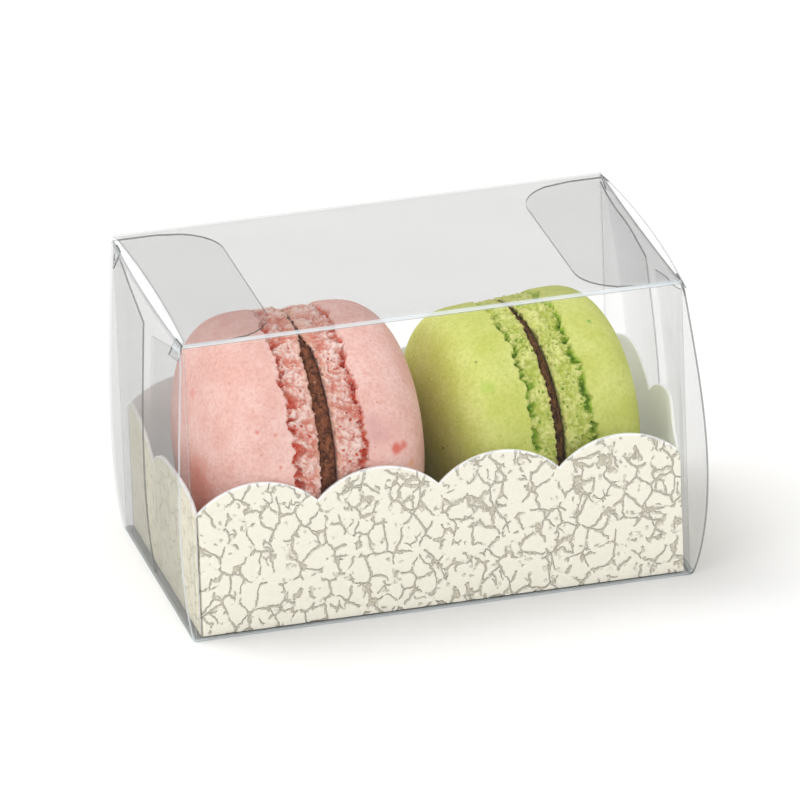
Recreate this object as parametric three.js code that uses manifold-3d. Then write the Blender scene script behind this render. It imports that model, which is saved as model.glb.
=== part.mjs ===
// Clear film carton with two filled almond-meringue sandwiches standing in a scalloped card tray.
// Millimetres, +Z up. +X runs along the carton's length and -Y is its front.
// The origin is on the resting face, under the middle of the carton with its bulged ends.

import * as THREE from 'three';
import { mergeVertices } from 'three/addons/utils/BufferGeometryUtils.js';
import Module from 'manifold-3d';

const wasm = await Module();
wasm.setup();

// Carton: one sheet of clear film folded into a sleeve, two closures, tuck flaps and dust flaps
const CARTON_DEPTH = 48;
const CARTON_HEIGHT = 50;
const SLEEVE_LENGTH = 79.6;
const FILM = 0.3;
const FILM_SLIT = 0.1;
const CREASE_RADIUS = 0.6;
const CREASE_STEPS = 3;
const CLEARANCE = 0.3;

// How far each panel's side edges stay inside the long walls
const CLOSURE_MARGIN = 0.4;
const TUCK_MARGIN = 1.2;
const TOP_EDGE_MARGIN = 0.7;

const SLEEVE_END = SLEEVE_LENGTH / 2;
const CLOSURE_FOOT = SLEEVE_END + FILM_SLIT + FILM;
const CLOSURE_HALF_WIDTH = CARTON_DEPTH / 2 - CLOSURE_MARGIN;
const HINGE_OVERLAP = 2;
const TUCK_TOP = CARTON_HEIGHT - FILM - FILM_SLIT;
const TUCK_HALF_WIDTH = CARTON_DEPTH / 2 - TUCK_MARGIN;
const TUCK_CORNER = 9;
const DUST_FLAP_BOTTOM = 0.8;
const DUST_FLAP_HINGE_TOP = 48.4;
const DUST_FLAP_FREE_TOP = 43.4;
const DUST_FLAP_REACH = 20.9;
const TOP_EDGE_HALF_WIDTH = CARTON_DEPTH / 2 - TOP_EDGE_MARGIN;
const TOP_EDGE_STEPS = 12;
const CUTTER_OVERHANG = 2;

// Steps across and up each bent panel
const CLOSURE_STEPS = [8, 14];
const TUCK_STEPS = [14, 3];
const DUST_FLAP_STEPS = [6, 8];

// Height share at which a closure bows out furthest, the straight stretch beside a long wall's
// crease, and the further distance from there to full bow
const BOW_PEAK = 0.37;
const BOW_EXPONENT = Math.log(0.5) / Math.log(BOW_PEAK);
const CORNER_REACH = 13;
const CORNER_STRAIGHT = 1;
const BELLY_RISE = 12;

// The two ends differ: the right closure and the dust flaps behind it bow out more
const LEFT_END = {
  side: -1,
  closure: { bow: 1.45, belly: 0.6 },
  dustFlap: { bow: 1.4, belly: 0 },
  trayLean: 1.5,
  tuckInnerEdge: 24.2,
  topEdgeCorner: 39.4,
  topEdgeMiddle: 38.7,
};
const RIGHT_END = {
  side: 1,
  closure: { bow: 3.1, belly: 1.1 },
  dustFlap: { bow: 2.2, belly: 0.95 },
  trayLean: 1.05,
  tuckInnerEdge: 25.1,
  topEdgeCorner: 39.6,
  topEdgeMiddle: 39.35,
};

// Tray: one piece of card, a base with four scalloped walls folded up from it
const CARD = 0.45;
const TRAY_BOTTOM = FILM + CLEARANCE;
const TRAY_HALF_LENGTH = 38.9;
const TRAY_HALF_DEPTH = 23.3;
const END_WALL_HALF_WIDTH = 22.4;
const SCALLOP_CUSP = 21;
const SCALLOP_PEAK = 25.2;
const LONG_WALL_SCALLOPS = 4;
const END_WALL_SCALLOPS = 2;
const SCALLOP_STEPS = 9;
const END_WALL_STEPS_UP = 5;

// Sandwich cakes: where they stand in the tray, and the sizes of their two shells. A shell's face
// is where its flat side lies along the cake's axis, and its wedge is how far that side turns.
const TRAY_FLOOR = TRAY_BOTTOM + CARD;
const PINK = {
  name: 'pink',
  centreX: -17.25,
  centreY: -1.46,
  yaw: 1.0,
  tilt: -0.45,
  domePower: 2.9,
  domeRoot: 2.57,
  fillingRadius: 19.3,
  seed: 11,
  left: { radius: 21, height: 17.3, foot: 4.2, face: -1.3, wedge: -0.3 },
  right: { radius: 20.85, height: 17.4, foot: 4.6, face: 0.9, wedge: 0.5 },
};
const GREEN = {
  name: 'green',
  centreX: 19.4,
  centreY: 0.76,
  yaw: 8.2,
  tilt: 0.45,
  domePower: 4.0,
  domeRoot: 2.2,
  fillingRadius: 17.5,
  seed: 47,
  left: { radius: 18.9, height: 14.85, foot: 3.6, face: -1.45, wedge: 0 },
  right: { radius: 19, height: 16, foot: 4.7, face: 0.25, wedge: 0.1 },
};
const SHELL_SEGMENTS = 64;
const FILLING_SEGMENTS = 48;
const FOOT_INSET = 0.45;
const FOOT_RELIEF = 0.4;
const FOOT_ROW_TURN = 1.4;
const CREVICE_DEPTH = 0.9;
const CREVICE_BAND = 0.2;
const PIT_DEPTH = 0.9;
const RIM_RISE = 0.5;
const RIM_INSET = 0.3;
const DOME_WOBBLE = 0.12;
const FILLING_EDGE = 0.3;
const FILLING_WOBBLE = 0.012;
const DISC_RING = 0.58;
const ON_AXIS = 1e-6;

// Heights of the dome's rings, as shares of the way from its rim to its top, closer near the top
const DOME_SHARES = [0.09, 0.3, 0.48, 0.64, 0.77, 0.87, 0.945, 0.985, 1];

// Waves that make a ring uneven: how many go round it, and how strong each is
const RUFFLE_WAVES = [
  { count: 5, share: 0.3 },
  { count: 9, share: 0.3 },
  { count: 14, share: 0.25 },
  { count: 21, share: 0.15 },
];

// Finishes
const FILM_FINISH = new THREE.MeshStandardMaterial({
  color: 0xe9ecec, roughness: 0.08, metalness: 0, transparent: true, opacity: 0.3,
});
const CARD_FINISH = new THREE.MeshStandardMaterial({ color: 0xeae6d6, roughness: 0.75, metalness: 0 });
const PINK_FINISH = new THREE.MeshStandardMaterial({ color: 0xedbcb3, roughness: 0.8, metalness: 0 });
const GREEN_FINISH = new THREE.MeshStandardMaterial({ color: 0xcbd577, roughness: 0.8, metalness: 0 });
const FILLING_FINISH = new THREE.MeshStandardMaterial({ color: 0x5e3c2a, roughness: 0.55, metalness: 0 });

// A closed body needs shared vertices, and faces that point out
function welded(geometry) {
  const bare = new THREE.BufferGeometry();
  bare.setAttribute('position', geometry.getAttribute('position'));
  bare.setIndex(geometry.getIndex());
  const merged = mergeVertices(bare, 1e-4);
  const positions = merged.getAttribute('position');
  const index = Array.from(merged.getIndex().array);
  const a = new THREE.Vector3();
  const b = new THREE.Vector3();
  const c = new THREE.Vector3();
  const kept = [];
  let volume = 0;
  for (let i = 0; i < index.length; i += 3) {
    const [ia, ib, ic] = index.slice(i, i + 3);
    if (ia === ib || ib === ic || ic === ia) continue;
    a.fromBufferAttribute(positions, ia);
    b.fromBufferAttribute(positions, ib);
    c.fromBufferAttribute(positions, ic);
    volume += a.dot(b.cross(c));
    kept.push([ia, ib, ic]);
  }
  const outward = volume > 0 ? kept : kept.map(([ia, ib, ic]) => [ia, ic, ib]);
  merged.setIndex(outward.flat());
  return merged;
}

// Moves every vertex of a geometry to where the map puts it
function mapped(geometry, map) {
  const positions = geometry.getAttribute('position');
  const point = new THREE.Vector3();
  for (let i = 0; i < positions.count; i += 1) {
    point.fromBufferAttribute(positions, i);
    const moved = map(point);
    positions.setXYZ(i, moved.x, moved.y, moved.z);
  }
  return welded(geometry);
}

// A sheet of even steps: the map gets along, up and through, each running from 0 to 1
function sheet([alongSteps, upSteps], map) {
  const block = new THREE.BoxGeometry(1, 1, 1, alongSteps, upSteps, 1);
  return mapped(block, (p) => map(p.x + 0.5, p.y + 0.5, p.z + 0.5));
}

function toSolid(geometry) {
  const shape = geometry.getIndex() ? geometry : mergeVertices(geometry);
  return new wasm.Manifold(new wasm.Mesh({
    numProp: 3,
    vertProperties: new Float32Array(shape.getAttribute('position').array),
    triVerts: new Uint32Array(shape.getIndex().array),
  }));
}

function fromSolid(solid) {
  const mesh = solid.getMesh();
  const geometry = new THREE.BufferGeometry();
  geometry.setAttribute('position', new THREE.BufferAttribute(new Float32Array(mesh.vertProperties), 3));
  geometry.setIndex(new THREE.BufferAttribute(new Uint32Array(mesh.triVerts), 1));
  return geometry;
}

function joined(geometries) {
  const solids = geometries.map(toSolid);
  return fromSolid(solids.reduce((whole, next) => whole.add(next)));
}

function smoothStep(share) {
  const s = THREE.MathUtils.clamp(share, 0, 1);
  return s * s * (3 - 2 * s);
}

// How far an end panel stands out of its upright plane at a place across it and a height
function bulge(panel, y, z) {
  const height = THREE.MathUtils.clamp(z / TUCK_TOP, 0, 1);
  const bow = panel.bow * Math.sin(Math.PI * height ** BOW_EXPONENT);
  const across = 1 - (y / (CARTON_DEPTH / 2)) ** 2;
  return bow + panel.belly * across * smoothStep(z / BELLY_RISE);
}

function cornerRamp(y) {
  return smoothStep((CARTON_DEPTH / 2 - CORNER_STRAIGHT - Math.abs(y)) / CORNER_REACH);
}

// Turns an outline drawn in the YZ plane so that its extrusion runs along X
function alongLength(geometry) {
  const basis = new THREE.Matrix4().makeBasis(
    new THREE.Vector3(0, 1, 0),
    new THREE.Vector3(0, 0, 1),
    new THREE.Vector3(1, 0, 0),
  );
  return geometry.applyMatrix4(basis);
}

function roundedRectangle(path, halfWidth, bottom, top, radius) {
  path.moveTo(-halfWidth + radius, bottom);
  path.lineTo(halfWidth - radius, bottom);
  path.absarc(halfWidth - radius, bottom + radius, radius, -Math.PI / 2, 0, false);
  path.lineTo(halfWidth, top - radius);
  path.absarc(halfWidth - radius, top - radius, radius, 0, Math.PI / 2, false);
  path.lineTo(-halfWidth + radius, top);
  path.absarc(-halfWidth + radius, top - radius, radius, Math.PI / 2, Math.PI, false);
  path.lineTo(-halfWidth, bottom + radius);
  path.absarc(-halfWidth + radius, bottom + radius, radius, Math.PI, 1.5 * Math.PI, false);
  return path;
}

// The four long panels, as one rectangular tube
function sleeveTube() {
  const outline = roundedRectangle(new THREE.Shape(), CARTON_DEPTH / 2, 0, CARTON_HEIGHT, CREASE_RADIUS);
  const hollow = roundedRectangle(
    new THREE.Path(),
    CARTON_DEPTH / 2 - FILM,
    FILM,
    CARTON_HEIGHT - FILM,
    CREASE_RADIUS - FILM,
  );
  outline.holes.push(hollow);
  const tube = new THREE.ExtrudeGeometry(outline, {
    depth: SLEEVE_LENGTH,
    bevelEnabled: false,
    curveSegments: CREASE_STEPS,
  });
  return welded(alongLength(tube.translate(0, 0, -SLEEVE_END)));
}

// What is cut from the top panel so that its end edge curves inwards between the corners
function topEdgeCutter(end) {
  const outside = SLEEVE_END + CUTTER_OVERHANG;
  const outline = new THREE.Shape();
  outline.moveTo(end.side * outside, -TOP_EDGE_HALF_WIDTH);
  for (let i = 0; i <= TOP_EDGE_STEPS; i += 1) {
    const y = TOP_EDGE_HALF_WIDTH * (2 * i / TOP_EDGE_STEPS - 1);
    const hollow = 1 - (y / TOP_EDGE_HALF_WIDTH) ** 2;
    outline.lineTo(end.side * THREE.MathUtils.lerp(end.topEdgeCorner, end.topEdgeMiddle, hollow), y);
  }
  outline.lineTo(end.side * outside, TOP_EDGE_HALF_WIDTH);
  const cutter = new THREE.ExtrudeGeometry(outline, { depth: 2 * FILM, bevelEnabled: false });
  return welded(cutter.translate(0, 0, CARTON_HEIGHT - 1.5 * FILM));
}

// The bottom panel's end, which carries the closure's crease
function closureHinge(end) {
  const reach = CLOSURE_FOOT - SLEEVE_END + HINGE_OVERLAP;
  const strip = new THREE.BoxGeometry(reach, 2 * CLOSURE_HALF_WIDTH, FILM);
  return welded(strip.translate(end.side * (CLOSURE_FOOT - reach / 2), 0, FILM / 2));
}

function closurePanel(end) {
  return sheet(CLOSURE_STEPS, (along, up, through) => {
    const y = CLOSURE_HALF_WIDTH * (2 * along - 1);
    const z = TUCK_TOP * up;
    const outer = CLOSURE_FOOT + bulge(end.closure, y, z);
    return new THREE.Vector3(end.side * (outer - FILM * through), y, z);
  });
}

// The tuck flap lies under the top panel, from the closure's top crease to a round-cornered edge
function tuckFlap(end) {
  return sheet(TUCK_STEPS, (along, up, through) => {
    const y = TUCK_HALF_WIDTH * (2 * along - 1);
    const intoCorner = Math.max(0, Math.abs(y) - (TUCK_HALF_WIDTH - TUCK_CORNER));
    const rounding = TUCK_CORNER - Math.sqrt(TUCK_CORNER ** 2 - intoCorner ** 2);
    const crease = CLOSURE_FOOT + bulge(end.closure, y, TUCK_TOP) - FILM / 2;
    const inner = end.tuckInnerEdge + rounding;
    return new THREE.Vector3(
      end.side * THREE.MathUtils.lerp(crease, inner, up),
      y,
      TUCK_TOP - FILM * through,
    );
  });
}

// A dust flap folds in from a long wall's end, behind the closure, and bows out with it
function dustFlap(end, wallSide) {
  const hinge = CARTON_DEPTH / 2 - FILM / 2;
  return sheet(DUST_FLAP_STEPS, (along, up, through) => {
    const y = wallSide * (hinge - DUST_FLAP_REACH * along);
    const top = THREE.MathUtils.lerp(DUST_FLAP_HINGE_TOP, DUST_FLAP_FREE_TOP, along);
    const z = THREE.MathUtils.lerp(DUST_FLAP_BOTTOM, top, up);
    const outer = SLEEVE_END + cornerRamp(y) * bulge(end.dustFlap, y, z);
    return new THREE.Vector3(end.side * (outer - FILM * through), y, z);
  });
}

function filmCarton() {
  const ends = [LEFT_END, RIGHT_END];
  const cutters = ends.map((end) => toSolid(topEdgeCutter(end)));
  const tube = cutters.reduce((whole, cutter) => whole.subtract(cutter), toSolid(sleeveTube()));
  const panels = ends.flatMap((end) => [
    closureHinge(end),
    closurePanel(end),
    tuckFlap(end),
    dustFlap(end, 1),
    dustFlap(end, -1),
  ]);
  return joined([fromSolid(tube), ...panels]);
}

// Height of a scalloped edge at a share of the wall's width
function scallopHeight(share, count, width) {
  const chord = width / count;
  const rise = SCALLOP_PEAK - SCALLOP_CUSP;
  const radius = (chord * chord / 4 + rise * rise) / (2 * rise);
  const cell = Math.min(Math.floor(share * count), count - 1);
  const offset = (share * count - cell - 0.5) * chord;
  return SCALLOP_PEAK - radius + Math.sqrt(radius * radius - offset * offset);
}

function longWall(wallSide) {
  const outline = new THREE.Shape();
  const steps = LONG_WALL_SCALLOPS * SCALLOP_STEPS;
  outline.moveTo(-TRAY_HALF_LENGTH, TRAY_BOTTOM);
  outline.lineTo(TRAY_HALF_LENGTH, TRAY_BOTTOM);
  for (let i = steps; i >= 0; i -= 1) {
    const x = TRAY_HALF_LENGTH * (2 * i / steps - 1);
    outline.lineTo(x, scallopHeight(i / steps, LONG_WALL_SCALLOPS, 2 * TRAY_HALF_LENGTH));
  }
  const wall = new THREE.ExtrudeGeometry(outline, { depth: CARD, bevelEnabled: false });
  wall.rotateX(Math.PI / 2);
  const outerFace = wallSide > 0 ? TRAY_HALF_DEPTH : -TRAY_HALF_DEPTH + CARD;
  return welded(wall.translate(0, outerFace, 0));
}

function endWall(end) {
  const steps = [END_WALL_SCALLOPS * SCALLOP_STEPS, END_WALL_STEPS_UP];
  return sheet(steps, (along, up, through) => {
    const y = END_WALL_HALF_WIDTH * (2 * along - 1);
    const top = scallopHeight(along, END_WALL_SCALLOPS, 2 * END_WALL_HALF_WIDTH);
    const z = THREE.MathUtils.lerp(TRAY_BOTTOM, top, up);
    const lean = end.trayLean * cornerRamp(y) * Math.sin(Math.PI / 2 * (z - TRAY_BOTTOM) / SCALLOP_PEAK);
    return new THREE.Vector3(end.side * (TRAY_HALF_LENGTH + lean - CARD * through), y, z);
  });
}

function cardTray() {
  const base = new THREE.BoxGeometry(2 * TRAY_HALF_LENGTH, 2 * TRAY_HALF_DEPTH, CARD);
  return joined([
    welded(base.translate(0, 0, TRAY_BOTTOM + CARD / 2)),
    longWall(1),
    longWall(-1),
    endWall(LEFT_END),
    endWall(RIGHT_END),
  ]);
}

// An uneven ring value between -1 and 1, the same at both ends of a full turn
function ruffle(angle, seed, row) {
  return RUFFLE_WAVES.reduce((sum, { count, share }, i) => (
    sum + share * Math.sin(count * angle + seed * (i + 1.7) + row * (1.3 + 0.9 * i))
  ), 0);
}

// Profile of a shell from its flat side up: ragged foot, crevice, overhanging rim and dome
function shellProfile(cake, shell) {
  const foot = shell.radius - FOOT_INSET;
  const rim = shell.foot + RIM_RISE;
  const points = [
    [0, 0],
    [foot * DISC_RING, 0],
    [foot - 0.9, 0],
    [foot - 0.2, 0.35],
    [foot, shell.foot * 0.3],
    [foot, shell.foot * 0.58],
    [foot - 0.15, shell.foot * 0.82],
    [shell.radius - CREVICE_DEPTH, shell.foot],
    [shell.radius - RIM_INSET, rim],
  ];
  for (const share of DOME_SHARES) {
    const ring = Math.max(0, 1 - share ** cake.domePower) ** (1 / cake.domeRoot);
    points.push([shell.radius * ring, THREE.MathUtils.lerp(rim, shell.height, share)]);
  }
  return points.map(([r, h]) => new THREE.Vector2(r, h));
}

// How far a shell's surface stands in or out of its turned profile
function shellRelief(shell, seed, r, height, angle) {
  if (height <= CREVICE_BAND) return 0;
  if (Math.abs(height - shell.foot) < CREVICE_BAND) {
    return -PIT_DEPTH * Math.max(0, ruffle(angle, seed + 5, 0));
  }
  if (height < shell.foot) return FOOT_RELIEF * ruffle(angle, seed, height * FOOT_ROW_TURN);
  return DOME_WOBBLE * ruffle(angle, seed, 0) * (r / shell.radius);
}

function unevenShell(cake, shell, seed) {
  const turned = new THREE.LatheGeometry(shellProfile(cake, shell), SHELL_SEGMENTS);
  return mapped(turned, (p) => {
    const r = Math.hypot(p.x, p.z);
    if (r < ON_AXIS) return p;
    const relief = shellRelief(shell, seed, r, p.y, Math.atan2(p.z, p.x));
    const scale = (r + relief) / r;
    return new THREE.Vector3(p.x * scale, p.y, p.z * scale);
  });
}

// The filling follows the wedge between the two shells' flat sides and is set back from the feet
function fillingDisc(cake) {
  const outer = cake.fillingRadius;
  const profile = [
    [0, 0],
    [outer * DISC_RING, 0],
    [outer - FILLING_EDGE, 0],
    [outer, 0.5],
    [outer - FILLING_EDGE, 1],
    [outer * DISC_RING, 1],
    [0, 1],
  ];
  const points = profile.map(([r, h]) => new THREE.Vector2(r, h));
  const turned = new THREE.LatheGeometry(points, FILLING_SEGMENTS);
  return mapped(turned, (p) => {
    const r = Math.hypot(p.x, p.z);
    const angle = Math.atan2(p.z, p.x);
    const atRim = r > outer - 2 * FILLING_EDGE;
    const uneven = atRim ? 1 + FILLING_WOBBLE * ruffle(angle, cake.seed + 9, p.y) : 1;
    const towardsFront = -p.x / outer;
    const low = cake.left.face + CLEARANCE + cake.left.wedge * towardsFront;
    const high = cake.right.face - CLEARANCE + cake.right.wedge * towardsFront;
    return new THREE.Vector3(THREE.MathUtils.lerp(low, high, p.y), p.x * uneven, p.z * uneven);
  });
}

// Lays a shell's turning axis along X, apex away from the filling, and tips it by its wedge
function placedShell(cake, side) {
  const shell = side < 0 ? cake.left : cake.right;
  const geometry = unevenShell(cake, shell, cake.seed + side);
  geometry.rotateZ(-side * Math.PI / 2);
  const mesh = new THREE.Mesh(geometry, cake === PINK ? PINK_FINISH : GREEN_FINISH);
  mesh.name = `${cake.name}_${side < 0 ? 'left' : 'right'}_shell`;
  mesh.position.x = shell.face;
  mesh.rotation.z = Math.atan2(shell.wedge, shell.radius);
  return mesh;
}

function sandwichCake(cake) {
  const group = new THREE.Group();
  const filling = new THREE.Mesh(fillingDisc(cake), FILLING_FINISH);
  filling.name = `${cake.name}_filling`;
  group.add(placedShell(cake, -1), filling, placedShell(cake, 1));
  const standing = Math.max(cake.left.radius, cake.right.radius);
  group.rotation.set(0, THREE.MathUtils.degToRad(-cake.tilt), THREE.MathUtils.degToRad(cake.yaw), 'ZYX');
  group.position.set(cake.centreX, cake.centreY, TRAY_FLOOR + CLEARANCE + standing);
  return group;
}

function namedMesh(name, geometry, finish) {
  const mesh = new THREE.Mesh(geometry, finish);
  mesh.name = name;
  return mesh;
}

// The whole is moved along its length so that the unequal bulges of its ends are centred
function furthestReach(end) {
  return CLOSURE_FOOT + bulge(end.closure, 0, BOW_PEAK * TUCK_TOP);
}

const pack = new THREE.Group();
pack.name = 'cake_pack';
pack.position.x = (furthestReach(LEFT_END) - furthestReach(RIGHT_END)) / 2;
pack.add(
  namedMesh('film_carton', filmCarton(), FILM_FINISH),
  namedMesh('card_tray', cardTray(), CARD_FINISH),
  sandwichCake(PINK),
  sandwichCake(GREEN),
);

export default pack;
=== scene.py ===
"""Dresses a clear film carton with two filled meringue cakes in a scalloped card tray.

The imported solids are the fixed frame. Each sub-assembly is a class that holds its sizes in
millimetres, builds its meshes in that frame and dresses them. Meshes are shaped in millimetres
and turned into metres as the last step. +X runs along the carton and -Y is its front.
"""

import logging
import math
from dataclasses import dataclass, field
from enum import Enum, IntEnum
from typing import Sequence, Union

import bpy
import numpy as np
from mathutils import Matrix, Vector


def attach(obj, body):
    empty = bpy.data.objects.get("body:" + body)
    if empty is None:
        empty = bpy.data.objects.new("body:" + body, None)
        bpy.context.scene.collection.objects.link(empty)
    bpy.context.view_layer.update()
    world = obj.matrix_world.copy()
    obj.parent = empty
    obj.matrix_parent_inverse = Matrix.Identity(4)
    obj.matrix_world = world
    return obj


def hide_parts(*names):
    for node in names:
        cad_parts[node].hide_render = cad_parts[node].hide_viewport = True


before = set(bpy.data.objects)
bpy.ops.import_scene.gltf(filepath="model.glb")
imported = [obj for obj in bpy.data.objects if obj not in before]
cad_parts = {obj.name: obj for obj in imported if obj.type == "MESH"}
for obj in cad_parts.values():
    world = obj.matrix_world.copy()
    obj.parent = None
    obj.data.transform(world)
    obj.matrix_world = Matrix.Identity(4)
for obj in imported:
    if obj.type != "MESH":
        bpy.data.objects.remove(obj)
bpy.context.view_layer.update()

LOG = logging.getLogger("cake_pack")
MM = 0.001

Colour = tuple[float, float, float]
Socket = bpy.types.NodeSocket
Number = Union[float, Socket]


class Side(IntEnum):
    """An end of the carton, or a shell's side of its cake, as its sign along X."""

    LEFT = -1
    RIGHT = 1

    @property
    def word(self) -> str:
        """The side in lower case, for a piece's name."""
        return self.name.lower()


class Slot(Enum):
    """The record's material slots."""

    FILM = "clear_film"
    CARD = "crackle_card"
    PINK = "pink_meringue"
    GREEN = "green_meringue"
    FILLING = "chocolate_filling"


class Facing(Enum):
    """Which way a tray wall's outer face looks, as a turn about Z from the front, in degrees."""

    FRONT = 0
    RIGHT = 90
    BACK = 180
    LEFT = -90


def smooth_step(share: np.ndarray) -> np.ndarray:
    """Eases from 0 to 1.

    Args:
        share: How far along each place is. It's held between 0 and 1.

    Returns:
        The eased shares.
    """
    held = np.clip(share, 0.0, 1.0)
    return held * held * (3.0 - 2.0 * held)


def blend(low: np.ndarray, high: np.ndarray, share: np.ndarray) -> np.ndarray:
    """The straight mix of low and high at share."""
    return low + (high - low) * share


def display_colour(red: int, green: int, blue: int) -> Colour:
    """Turns a colour as seen on a screen, 0 to 255, into the linear colour that shaders take.

    Args:
        red: Red as shown.
        green: Green as shown.
        blue: Blue as shown.

    Returns:
        The same colour in linear light.
    """

    def linear(shown: int) -> float:
        """One channel in linear light, by the curve that screens use."""
        share = shown / 255.0
        if share <= 0.04045:
            return share / 12.92
        return ((share + 0.055) / 1.055) ** 2.4

    return linear(red), linear(green), linear(blue)


@dataclass
class Graph:
    """A node tree with short calls for the nodes used here. Texture sizes are in millimetres.

    Args:
        tree: The shader or geometry tree.
        unit: How many millimetres one coordinate unit of the tree is.
    """

    tree: bpy.types.NodeTree
    unit: float

    def node(self, kind: str, **settings: object) -> bpy.types.Node:
        """Adds a node of that kind with those settings."""
        made = self.tree.nodes.new(kind)
        for name, value in settings.items():
            setattr(made, name, value)
        return made

    def feed(self, socket: Socket, value: object) -> None:
        """Links a socket to another, or sets its constant."""
        if isinstance(value, bpy.types.NodeSocket):
            self.tree.links.new(value, socket)
        elif value is not None:
            socket.default_value = value

    def fill(self, node: bpy.types.Node, inputs: dict[str, object]) -> bpy.types.Node:
        """Feeds a node's named inputs, and gives the node back."""
        for name, value in inputs.items():
            self.feed(node.inputs[name], value)
        return node

    def result(self, kind: str, values: Sequence[object], **settings: object) -> Socket:
        """Adds a node, feeds the inputs that it uses in their order, and gives its result."""
        made = self.node(kind, **settings)
        used = [socket for socket in made.inputs if socket.enabled]
        for socket, value in zip(used, values):
            self.feed(socket, value)
        return next(socket for socket in made.outputs if socket.enabled)

    def math(self, operation: str, *values: Number) -> Socket:
        """One Math node's result."""
        return self.result("ShaderNodeMath", values, operation=operation)

    def product(self, *values: Number) -> Socket:
        """All values multiplied."""
        result = values[0]
        for value in values[1:]:
            result = self.math("MULTIPLY", result, value)
        return result

    def total(self, *values: Number) -> Socket:
        """All values added."""
        result = values[0]
        for value in values[1:]:
            result = self.math("ADD", result, value)
        return result

    def vector(self, operation: str, *values: object) -> Socket:
        """One Vector Math node's vector, or its number where the operation gives one."""
        return self.result("ShaderNodeVectorMath", values, operation=operation)

    def combine(self, x: Number = 0.0, y: Number = 0.0, z: Number = 0.0) -> Socket:
        """A vector of three numbers."""
        return self.result("ShaderNodeCombineXYZ", (x, y, z))

    def parts(self, vector: Socket) -> tuple[Socket, Socket, Socket]:
        """The three numbers of a vector."""
        made = self.node("ShaderNodeSeparateXYZ")
        self.feed(made.inputs[0], vector)
        return made.outputs[0], made.outputs[1], made.outputs[2]

    def ease(self, value: Socket, low: Number, high: Number, start: Number = 0.0,
             end: Number = 1.0) -> Socket:
        """Eases from start to end while value goes from low to high.

        Args:
            value: What is read.
            low: Where the easing begins.
            high: Where it ends. It may be less than low.
            start: The result at low.
            end: The result at high.

        Returns:
            The eased number.
        """
        numbers = (value, low, high, start, end)
        return self.result("ShaderNodeMapRange", numbers, interpolation_type="SMOOTHSTEP")

    def texture(self, kind: str, place: Socket, size: float, **settings: object) -> bpy.types.Node:
        """A texture node read at a place, whose pattern is about size across."""
        made = self.node(kind, **settings)
        return self.fill(made, {"Vector": place, "Scale": self.unit / size})

    def noise(self, place: Socket, size: float, detail: float = 2.0,
              roughness: float = 0.5) -> Socket:
        """Soft noise about 0.5, whose bumps are about size across."""
        made = self.texture("ShaderNodeTexNoise", place, size)
        return self.fill(made, {"Detail": detail, "Roughness": roughness}).outputs["Fac"]

    def swing(self, place: Socket, size: float, detail: float = 2.0) -> Socket:
        """Soft noise about 0, between about -1 and 1."""
        centred = self.math("SUBTRACT", self.noise(place, size, detail), 0.5)
        return self.math("MULTIPLY", centred, 2.0)

    def scatter(self, place: Socket, size: float) -> Socket:
        """A vector of three noises about 0.5, whose bumps are about size across."""
        return self.texture("ShaderNodeTexNoise", place, size).outputs["Color"]

    def cells(self, place: Socket, size: float) -> tuple[Socket, Socket]:
        """Scattered cells about size across.

        Args:
            place: Where the pattern is read.
            size: Distance between neighbouring cells.

        Returns:
            The distance to the cell's middle as a share of size, and its random colour.
        """
        made = self.texture("ShaderNodeTexVoronoi", place, size, feature="F1")
        return made.outputs["Distance"], made.outputs["Color"]

    def cell_edges(self, place: Socket, size: float) -> Socket:
        """The distance to the nearest line between scattered cells, as a share of size."""
        made = self.texture("ShaderNodeTexVoronoi", place, size, feature="DISTANCE_TO_EDGE")
        return made.outputs["Distance"]

    def mark(self, name: str) -> Socket:
        """In a shader, the number stored on the points under that name."""
        return self.node("ShaderNodeAttribute", attribute_name=name).outputs["Fac"]

    def mix(self, share: Number, first: Number, second: Number) -> Socket:
        """The mix of two numbers."""
        return self.result("ShaderNodeMix", (share, first, second), data_type="FLOAT")

    def tint(self, share: Number, first: object, second: object) -> Socket:
        """The mix of two colours, each a socket or a linear colour."""
        colours = [(*value, 1.0) if isinstance(value, tuple) else value for value in (first, second)]
        return self.result("ShaderNodeMix", (share, *colours), data_type="RGBA")


@dataclass(frozen=True)
class Patches:
    """Soft irregular patches.

    Args:
        size: Distance between patches, in millimetres.
        detail: How many finer sizes of patches are added.
        roughness: How strong the finer ones are.
        low: The noise at which a patch begins.
        high: The noise at which it is full.
        start: The result outside a patch.
        end: The result inside it.
    """

    size: float
    detail: float
    roughness: float
    low: float
    high: float
    start: float = 0.0
    end: float = 1.0

    def share(self, graph: Graph, place: Socket) -> Socket:
        """How much of a patch lies at a place."""
        noise = graph.noise(place, self.size, self.detail, self.roughness)
        return graph.ease(noise, self.low, self.high, self.start, self.end)


@dataclass(frozen=True)
class Dots:
    """Dots in the middles of some of many scattered cells.

    Args:
        spacing: Distance between cells, in millimetres.
        edge: Where a dot ends, as a share of the spacing.
        core: Where it is full.
        none_below: The cell's random number below which it has no dot.
        full_above: The random number above which its dot is full.
        strength: How much of a full dot shows.
        ragged: How far a dot's edge strays, as a share of the spacing.
        ragged_size: Distance between the bends of its edge, in millimetres.
    """

    spacing: float
    edge: float
    core: float
    none_below: float
    full_above: float
    strength: float = 1.0
    ragged: float = 0.0
    ragged_size: float = 0.7

    def share(self, graph: Graph, place: Socket) -> Socket:
        """How much of a dot lies at a place."""
        near, random = graph.cells(place, self.spacing)
        if self.ragged:
            bends = graph.swing(place, self.ragged_size)
            near = graph.math("MULTIPLY_ADD", bends, self.ragged, near)
        chance, _, _ = graph.parts(random)
        inside = graph.ease(near, self.edge, self.core)
        chosen = graph.ease(chance, self.none_below, self.full_above)
        return graph.product(inside, chosen, self.strength)


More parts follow.
